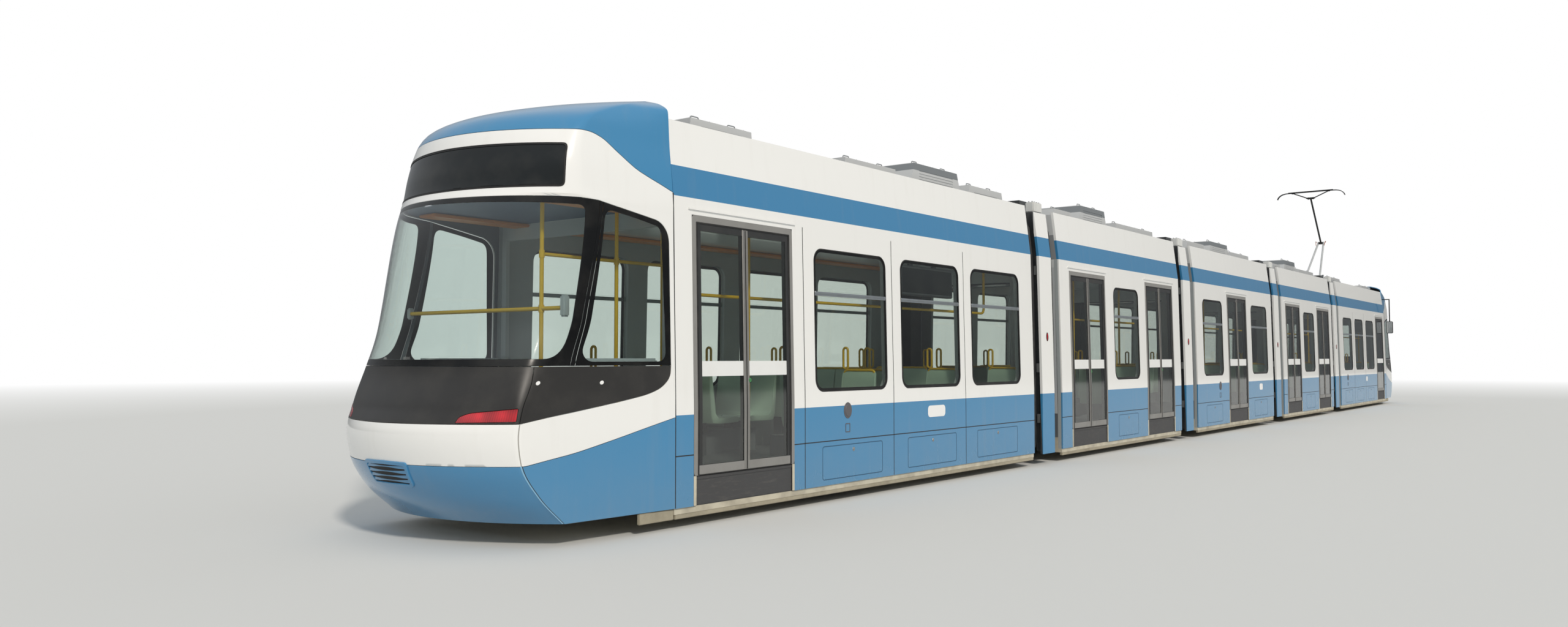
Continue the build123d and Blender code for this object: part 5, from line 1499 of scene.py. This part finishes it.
for name in MODULES:
    rear, front = MODULE_ENDS[name]
    catches, slot_shades, handles = [], [], []
    for hand, start, width in WINDOWS[name]:
        x = rear + start + width / 2
        catches.append(side_plate(hand, round_line(x, 0.505, 0.021), out=0.003, deep=0.008, edge=0.0015))
        catches.append(side_plate(hand, round_line(x, 0.505, 0.012), out=0.005, deep=0.008, edge=0.001))
        # A black strip across each catch is painted shade in its key slot.
        slot_shades.append(square_plate(hand, x - 0.010, x + 0.010, 0.5035, 0.5065, 0.0012,
                                  out=0.0058, deep=0.002, edge=0.0003))
    group(name + "_cover_catches", catches, catch_metal, name)
    group(name + "_catch_slot_shadows", slot_shades, trim_rubber, name)
    buttons, rims = [], []
    for start, width, leaves in DOORS[name]:
        middle = rear + start + width / 2
        x = middle + 0.045 if leaves == 2 else middle + width / 2 - 0.10
        rims.append(side_plate(RIGHT, round_line(x, 1.235, 0.030), out=0.004, deep=0.007, edge=0.002))
        buttons.append(side_plate(RIGHT, round_line(x, 1.235, 0.021), out=0.008, deep=0.006, edge=0.003))
    group(name + "_button_rims", rims, trim_rubber, name)
    group(name + "_door_buttons", buttons, button_green, name)
for number, (name, x, z) in enumerate(SOCKET_COVERS, 1):
    plate = rounded_rectangle(x - 0.042, x + 0.042, z - 0.222, z - 0.130, 0.010)
    plate_in = rounded_rectangle(x - 0.033, x + 0.033, z - 0.213, z - 0.139, 0.004)
    parts = [side_plate(RIGHT, oval_line(x, z, 0.070, 0.082), out=0.005, deep=0.009, edge=0.003),
             side_plate(RIGHT, oval_line(x, z, 0.052, 0.064), out=0.010, deep=0.008, edge=0.004),
             side_plate(RIGHT, plate, plate_in, out=0.003, deep=0.004)]
    group("socket_cover_%d" % number, parts, socket_grey, name)
for number, (name, low, high) in enumerate(BLANK_PLATES, 1):
    plate = square_plate(RIGHT, low, high, 0.765, 0.895, 0.045, 7, out=0.0015, deep=0.003, edge=0.0005)
    group("blank_plate_%d" % number, [plate], sticker_white, name)
for end in (REAR, FRONT):
    for left in (False, True):
        for number, (kind, s, z) in enumerate(NOSE_DOTS, 1):
            u, v = on_nose(kind, s, z)
            ring = mirrored(round_line(u, v, 0.017, 20), left)
            dot = nose_plate("%s_%s_dot_%d" % (NOSE_NAME[end], "left" if left else "right", number), end,
                             ring, [], 0.005, (sticker_white, trim_rubber), rise=0.004, gap=0.0)


# Roof equipment: pressed lids with handles and screws on the containers, and cable ducts between them.
# The lids are lacquered aluminium, and the ducts are grey paint with grime in soft patches.
ROOF_CASES = {
    "module_1": [(0.500, 0.900, 0.880, 3.600, 0.020), (2.950, 1.050, 0.880, 3.590, 0.020),
                 (4.250, 1.250, 0.900, 3.720, 0.120), (5.650, 1.000, 0.900, 3.620, 0.060)],
    "module_2": [(0.450, 0.700, 0.880, 3.600, 0.060), (1.300, 1.150, 0.900, 3.740, 0.120),
                 (2.900, 1.750, 0.860, 3.620, 0.040)],
    "module_3": [(0.450, 1.100, 0.880, 3.620, 0.060), (1.750, 1.300, 0.900, 3.720, 0.120),
                 (3.350, 1.300, 0.860, 3.620, 0.040)],
    "module_4": [(0.450, 0.700, 0.880, 3.600, 0.060), (1.350, 1.150, 0.900, 3.740, 0.120),
                 (2.900, 1.600, 0.860, 3.620, 0.040)],
    "module_5": [(0.400, 1.300, 0.880, 3.620, 0.060), (4.700, 1.300, 0.880, 3.600, 0.040)],
}
lid_grey = weathered_paint("roof_lid_paint", "#C9CBCB", 0.45, "#77736A", 0.5)
duct_grey = weathered_paint("cable_duct_paint", "#8B8E90", 0.5)
for name in MODULES:
    rear, front = MODULE_ENDS[name]
    lids, handles, screws, ducts = [], [], [], []
    last = None
    for start, length, half, top, lean in ROOF_CASES[name]:
        a, b = rear + start + lean + 0.03, rear + start + length - lean - 0.03
        lids.append(box_mesh(a, b, -half + 0.03, half - 0.03, top - 0.004, top + 0.012, 0.005))
        middle = (a + b) / 2
        lids.append(box_mesh(middle - 0.16, middle + 0.16, -half + 0.22, half - 0.22, top + 0.008,
                             top + 0.026, 0.008))
        for y in (-half + 0.11, half - 0.11):
            for x in (a + 0.14, b - 0.14):
                bow = bent_path([(x - 0.055, y, top + 0.006), (x - 0.055, y, top + 0.048),
                                 (x + 0.055, y, top + 0.048), (x + 0.055, y, top + 0.006)], 0.02, 4)
                handles.append(tube_mesh(bow, 0.006, 8))
        count = max(3, int((b - a) / 0.22))
        for k in range(count + 1):
            for y in (-half + 0.05, half - 0.05):
                x = a + 0.03 + (b - a - 0.06) * k / count
                screws.append(upright_tube(x, y, top + 0.010, top + 0.017, 0.008, 6))
        if last is not None:
            for y in (-0.46, -0.36, 0.40):
                duct = bent_path([(last - 0.02, y, 3.36), (last + 0.06, y, 3.38),
                                  (rear + start - 0.06, y, 3.38), (rear + start + 0.02, y, 3.36)], 0.04, 4)
                ducts.append(tube_mesh(duct, 0.026, 10))
        last = rear + start + length
    group(name + "_case_lids", lids, lid_grey, name)
    group(name + "_lid_handles", handles, catch_metal, name)
    group(name + "_lid_screws", screws, catch_metal, name)
    group(name + "_roof_ducts", ducts, duct_grey, name)


# Running gear: turned steel wheelsets, bright on the tread and flange and brown with brake dust elsewhere,
# in welded frames painted dark grey. Each wheel has a pressed hub cover held by eight screws.
AXLES = {"wheelset_1": -END_AXLE_X, "wheelset_2": -8.65, "wheelset_3": -2.75, "wheelset_4": 3.30,
         "wheelset_5": 9.15, "wheelset_6": END_AXLE_X}
axle_z, tread_radius, hub_face = 0.302, 0.2795, 0.580


def wheel_finish(name, x):
    """Steel wheel: bright on its rolled tread, with grey paint and brake dust on its disc and axle."""
    material, tree = new_material(name)
    place = add_node(tree, "TexCoord"), "Object"
    offset = add_node(tree, "VectorMath", {0: place, 1: (x, 0.0, axle_z)}, operation="SUBTRACT")
    flat = add_node(tree, "VectorMath", {0: (offset, "Vector"), 1: (1, 0, 1)}, operation="MULTIPLY")
    away = add_node(tree, "VectorMath", {0: (flat, "Vector")}, operation="LENGTH")
    tread = add_node(tree, "MapRange",
                     {"Value": (away, "Value"), "From Min": tread_radius - 0.006,
                      "From Max": tread_radius - 0.002})
    rust = add_node(tree, "TexNoise", {"Vector": place, "Scale": 14.0, "Detail": 8.0, "Roughness": 0.7})
    share = add_node(tree, "MapRange", {"Value": rust, "From Min": 0.4, "From Max": 0.7})
    disc = add_node(tree, "Mix", {0: share, 6: linear("#4A4743"), 7: linear("#6B5240")}, data_type="RGBA")
    colour = add_node(tree, "Mix", {0: tread, 6: (disc, 2), 7: linear("#B4B2AE")}, data_type="RGBA")
    rough = add_node(tree, "MapRange", {"Value": tread, "To Min": 0.75, "To Max": 0.22})
    bump = add_node(tree, "Bump", {"Height": rust, "Strength": 0.2, "Distance": 0.001})
    shader = add_node(tree, "BsdfPrincipled",
                      {"Base Color": (colour, 2), "Metallic": tread, "Roughness": rough, "Normal": bump})
    finish_material(tree, shader)
    return material


hub_paint = weathered_paint("hub_cover_paint", "#5C5F60", 0.5, "#4A3A2C", 0.6)
gear_paint = weathered_paint("running_gear_paint", "#35373A", 0.6, "#5A4A3B", 0.7)
for name, x in AXLES.items():
    give(name, wheel_finish(name + "_steel", x))
    covers, screws = [], []
    for hand in (RIGHT, LEFT):
        face = hand * hub_face
        covers.append(cross_tube(x, face - hand * 0.002, face + hand * 0.004, axle_z, 0.088, 40))
        covers.append(cross_tube(x, face + hand * 0.003, face + hand * 0.012, axle_z, 0.050, 32))
        for k in range(8):
            turn = math.radians(45 * k)
            sx, sz = x + 0.070 * math.cos(turn), axle_z + 0.070 * math.sin(turn)
            screws.append(cross_tube(sx, face + hand * 0.003, face + hand * 0.011, sz, 0.008, 6))
    group(name + "_hub_covers", covers, hub_paint, name)
    group(name + "_hub_screws", screws, bolt_zinc, name)
for node in ("rear_axle_frame", "front_axle_frame"):
    give(node, gear_paint)


# Pantograph: welded steel tubes on silicone insulators, light grey below the knee and dark above it. The
# head has two bows with pressed carbon strips, joined by cross pieces and drooping at their ends into horns.
HEAD_BOW = [(0.905, -0.186), (0.888, -0.140), (0.840, -0.085), (0.770, -0.045), (0.690, -0.026),
            (0.610, -0.022)]
head_x, head_top, head_pivot_z, bow_offset = 12.040, 6.270, 6.060, 0.032
INSULATORS = [(11.900, -0.410), (11.900, 0.410), (13.500, -0.410), (13.500, 0.410)]
insulator_foot, insulator_top = 3.491, 3.642


def turned_mesh(x, y, profile, sides=28):
    """Solid turned about an upright axis from (radius, height) pairs, lowest first."""
    turns = [2 * math.pi * k / sides for k in range(sides)]
    points = [Vector((x + r * math.cos(turn), y + r * math.sin(turn), z))
              for r, z in profile for turn in turns]
    faces = [tuple(reversed(range(sides))), tuple(range((len(profile) - 1) * sides, len(profile) * sides))]
    for i in range(len(profile) - 1):
        faces += ring_faces(i * sides, (i + 1) * sides, sides)
    return points, faces


def shed_profile():
    """Insulator with three sheds, as radius and height from its foot."""
    pitch = (insulator_top - insulator_foot) / 3
    profile = [(0.040, insulator_foot)]
    for i in range(3):
        z = insulator_foot + pitch * (i + 0.34)
        profile += [(0.038, z), (0.061, z + 0.004), (0.063, z + 0.009), (0.040, z + 0.036)]
    return profile + [(0.040, insulator_top)]


silicone_red = satin_panel("insulator_silicone", "#7C3B30", 0.4)
arm_light = weathered_paint("lower_arm_paint", "#B9BCBD", 0.45, "#77736A", 0.4)
arm_dark = weathered_paint("upper_arm_paint", "#26282A", 0.5, "#4B463F", 0.4)
carbon = rubber("carbon_strip", "#1C1C1D", 0.45)
copper = drawn_metal("copper_braid", "#A5643F", 0.45)
group("pantograph_insulators", [turned_mesh(x, y, shed_profile()) for x, y in INSULATORS],
              silicone_red, "module_5", 40)
give("pantograph_lower_arm", arm_light)
give("pantograph_upper_arm", arm_dark)
bows, strips = [], []
for dx in (-bow_offset, bow_offset):
    right = [(head_x + dx, -y, head_top + z) for y, z in HEAD_BOW]
    left = [(head_x + dx, y, head_top + z) for y, z in reversed(HEAD_BOW)]
    bows.append(tube_mesh(bent_path(right + left, 0.05, 4), 0.011, 10))
    strips.append(box_mesh(head_x + dx - 0.0155, head_x + dx + 0.0155, -0.600, 0.600, head_top - 0.018,
                           head_top + 0.001, 0.004))
for y in (-0.610, -0.480, 0.480, 0.610):
    bows.append(tube_mesh([(head_x - bow_offset, y, head_top - 0.024),
                           (head_x + bow_offset, y, head_top - 0.024)], 0.010, 10))
for hand in (RIGHT, LEFT):
    bows.append(tube_mesh([(head_x, hand * 0.071, head_pivot_z), (head_x, hand * 0.480, head_top - 0.030)],
                          0.015, 14))
    bows.append(cross_tube(head_x, hand * 0.060, hand * 0.082, head_pivot_z, 0.034, 24))
    bows.append(box_mesh(head_x - 0.030, head_x + 0.030, *handed(hand, 0.445, 0.515), head_top - 0.050,
                         head_top - 0.020, 0.006))
bows.append(cross_tube(head_x, -0.119, 0.119, head_pivot_z, 0.014, 16))
head = group("pantograph_bows", bows, arm_dark, "pantograph_head")
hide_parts("pantograph_head")
carbons = group("pantograph_carbons", strips, carbon, "pantograph_head")
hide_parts("pantograph_head")
braids = []
for hand in (RIGHT, LEFT):
    y = hand * 0.112
    braid = bent_path([(13.11, y, 4.77), (13.15, y + hand * 0.02, 4.90), (13.24, y + hand * 0.02, 4.895),
                       (13.235, y, 4.86)], 0.05, 6)
    braids.append(tube_mesh(braid, 0.007, 8))
group("knee_braids", braids, copper, "pantograph_lower_arm")


# Cab: moulded desk with two screens, levers and keys, a cloth-covered seat and a grey partition. Outside it
# are two mirrors in black housings on tubular arms, and a wiper on the windscreen.
def cab_finish():
    """Grey partition, charcoal desk and blue woven seat, told apart by their places."""
    material, tree = new_material("cab_finish")
    place = add_node(tree, "TexCoord"), "Object"
    parts = add_node(tree, "SeparateXYZ", {"Vector": place})
    partition_end, desk_from = 16.02, 16.75
    not_wall = add_node(tree, "Math", {0: (parts, "X"), 1: partition_end}, operation="GREATER_THAN")
    desk = add_node(tree, "Math", {0: (parts, "X"), 1: desk_from}, operation="GREATER_THAN")
    grain = add_node(tree, "TexNoise", {"Vector": place, "Scale": 90.0, "Detail": 3.0})
    rows = add_node(tree, "TexWave", {"Vector": place, "Scale": 60.0, "Distortion": 0.4}, bands_direction="Z")
    cloth = add_node(tree, "Mix", {0: (rows, "Fac"), 6: linear("#2B3645"), 7: linear("#3A4A60")},
                     data_type="RGBA")
    wall_or_cloth = add_node(tree, "Mix", {0: not_wall, 6: linear("#9CA3A6"), 7: (cloth, 2)},
                             data_type="RGBA")
    colour = add_node(tree, "Mix", {0: desk, 6: (wall_or_cloth, 2), 7: linear("#33363A")}, data_type="RGBA")
    bump = add_node(tree, "Bump", {"Height": grain, "Strength": 0.2, "Distance": 0.0008})
    shader = add_node(tree, "BsdfPrincipled", {"Base Color": (colour, 2), "Roughness": 0.6, "Normal": bump})
    finish_material(tree, shader)
    return material


def cross_plate(line, x0, x1, edge=0.002):
    """Plate across the tram from a closed line of (y, z), with broken edges."""
    rings = [(moved_in(line, edge), x0), (line, x0 + edge), (line, x1 - edge), (moved_in(line, edge), x1)]
    points = [Vector((x, p.x, p.y)) for ring, x in rings for p in ring]
    count = len(line)
    faces = [tuple(reversed(range(count))), tuple(range(3 * count, 4 * count))]
    for i in range(3):
        faces += ring_faces(i * count, (i + 1) * count, count)
    return points, faces


def on_end(end, y, z, rise):
    """Point above the end of the nose, at a y and a height."""
    u, v = on_nose("end", abs(y), z)
    u = 4 * around - u if y > 0 else u
    return nose_point(end, u, v) + nose_normal(end, u, v) * rise


give("cab", cab_finish())
desk_top = 1.070
screens, levers, keys = [], [], []
for y in (-0.20, 0.14):
    tilted = cross_plate(rounded_rectangle(y - 0.13, y + 0.13, desk_top + 0.01, desk_top + 0.20, 0.015),
                         17.16, 17.19, 0.004)
    screens.append(tilted)
    screens.append(upright_tube(17.19, y, desk_top - 0.01, desk_top + 0.10, 0.018, 12))
for y in (-0.52, 0.46):
    levers.append(tube_mesh([(17.02, y, desk_top - 0.01), (17.03, y, desk_top + 0.10)], 0.012, 12))
    levers.append(cross_tube(17.03, y - 0.035, y + 0.035, desk_top + 0.10, 0.019, 16))
for i in range(6):
    for j in range(2):
        keys.append(box_mesh(16.96 + 0.04 * j, 16.985 + 0.04 * j, -0.40 + 0.035 * i, -0.375 + 0.035 * i,
                             desk_top - 0.002, desk_top + 0.010, 0.003))
group("desk_screens", screens, display_glass, "module_5")
group("desk_levers", levers, trim_rubber, "module_5")
group("desk_keys", keys, plate_white, "module_5")

mirror_black = satin_panel("mirror_housing", "#17181A", 0.4)
give("mirrors", mirror_black)
mirror_glass = drawn_metal("mirror_silver", "#D5DADD", 0.15)
panes, rims = [], []
for hand in (RIGHT, LEFT):
    y0, y1 = handed(hand, 1.228, 1.382)
    panes.append(cross_plate(rounded_rectangle(y0, y1, 2.205, 2.547, 0.026), 16.0865, 16.095, 0.001))
    rims.append(cross_plate(rounded_rectangle(y0 - 0.006, y1 + 0.006, 2.199, 2.553, 0.030), 16.088, 16.096,
                            0.002))
    rims.append(box_mesh(16.100, 16.140, *handed(hand, 1.288, 1.324), 2.545, 2.600, 0.006))
group("mirror_panes", panes, mirror_glass, "module_5")
group("mirror_rims", rims, trim_rubber, "module_5")
arm = [on_end(FRONT, 0.06, 1.330, 0.028), on_end(FRONT, 0.02, 1.42, 0.040), on_end(FRONT, -0.30, 1.70, 0.036),
       on_end(FRONT, -0.52, 1.92, 0.022)]
blade = [on_end(FRONT, -0.44 - 0.04 * k, 1.50 + 0.084 * k, 0.014) for k in range(11)]
wiper = [tube_mesh(bent_path(arm, 0.05), 0.010, 10), tube_mesh(blade, 0.008, 8),
         tube_mesh([on_end(FRONT, 0.06, 1.330, -0.004), on_end(FRONT, 0.06, 1.330, 0.040)], 0.026, 20)]
group("windscreen_wiper", wiper, trim_rubber, "module_5")
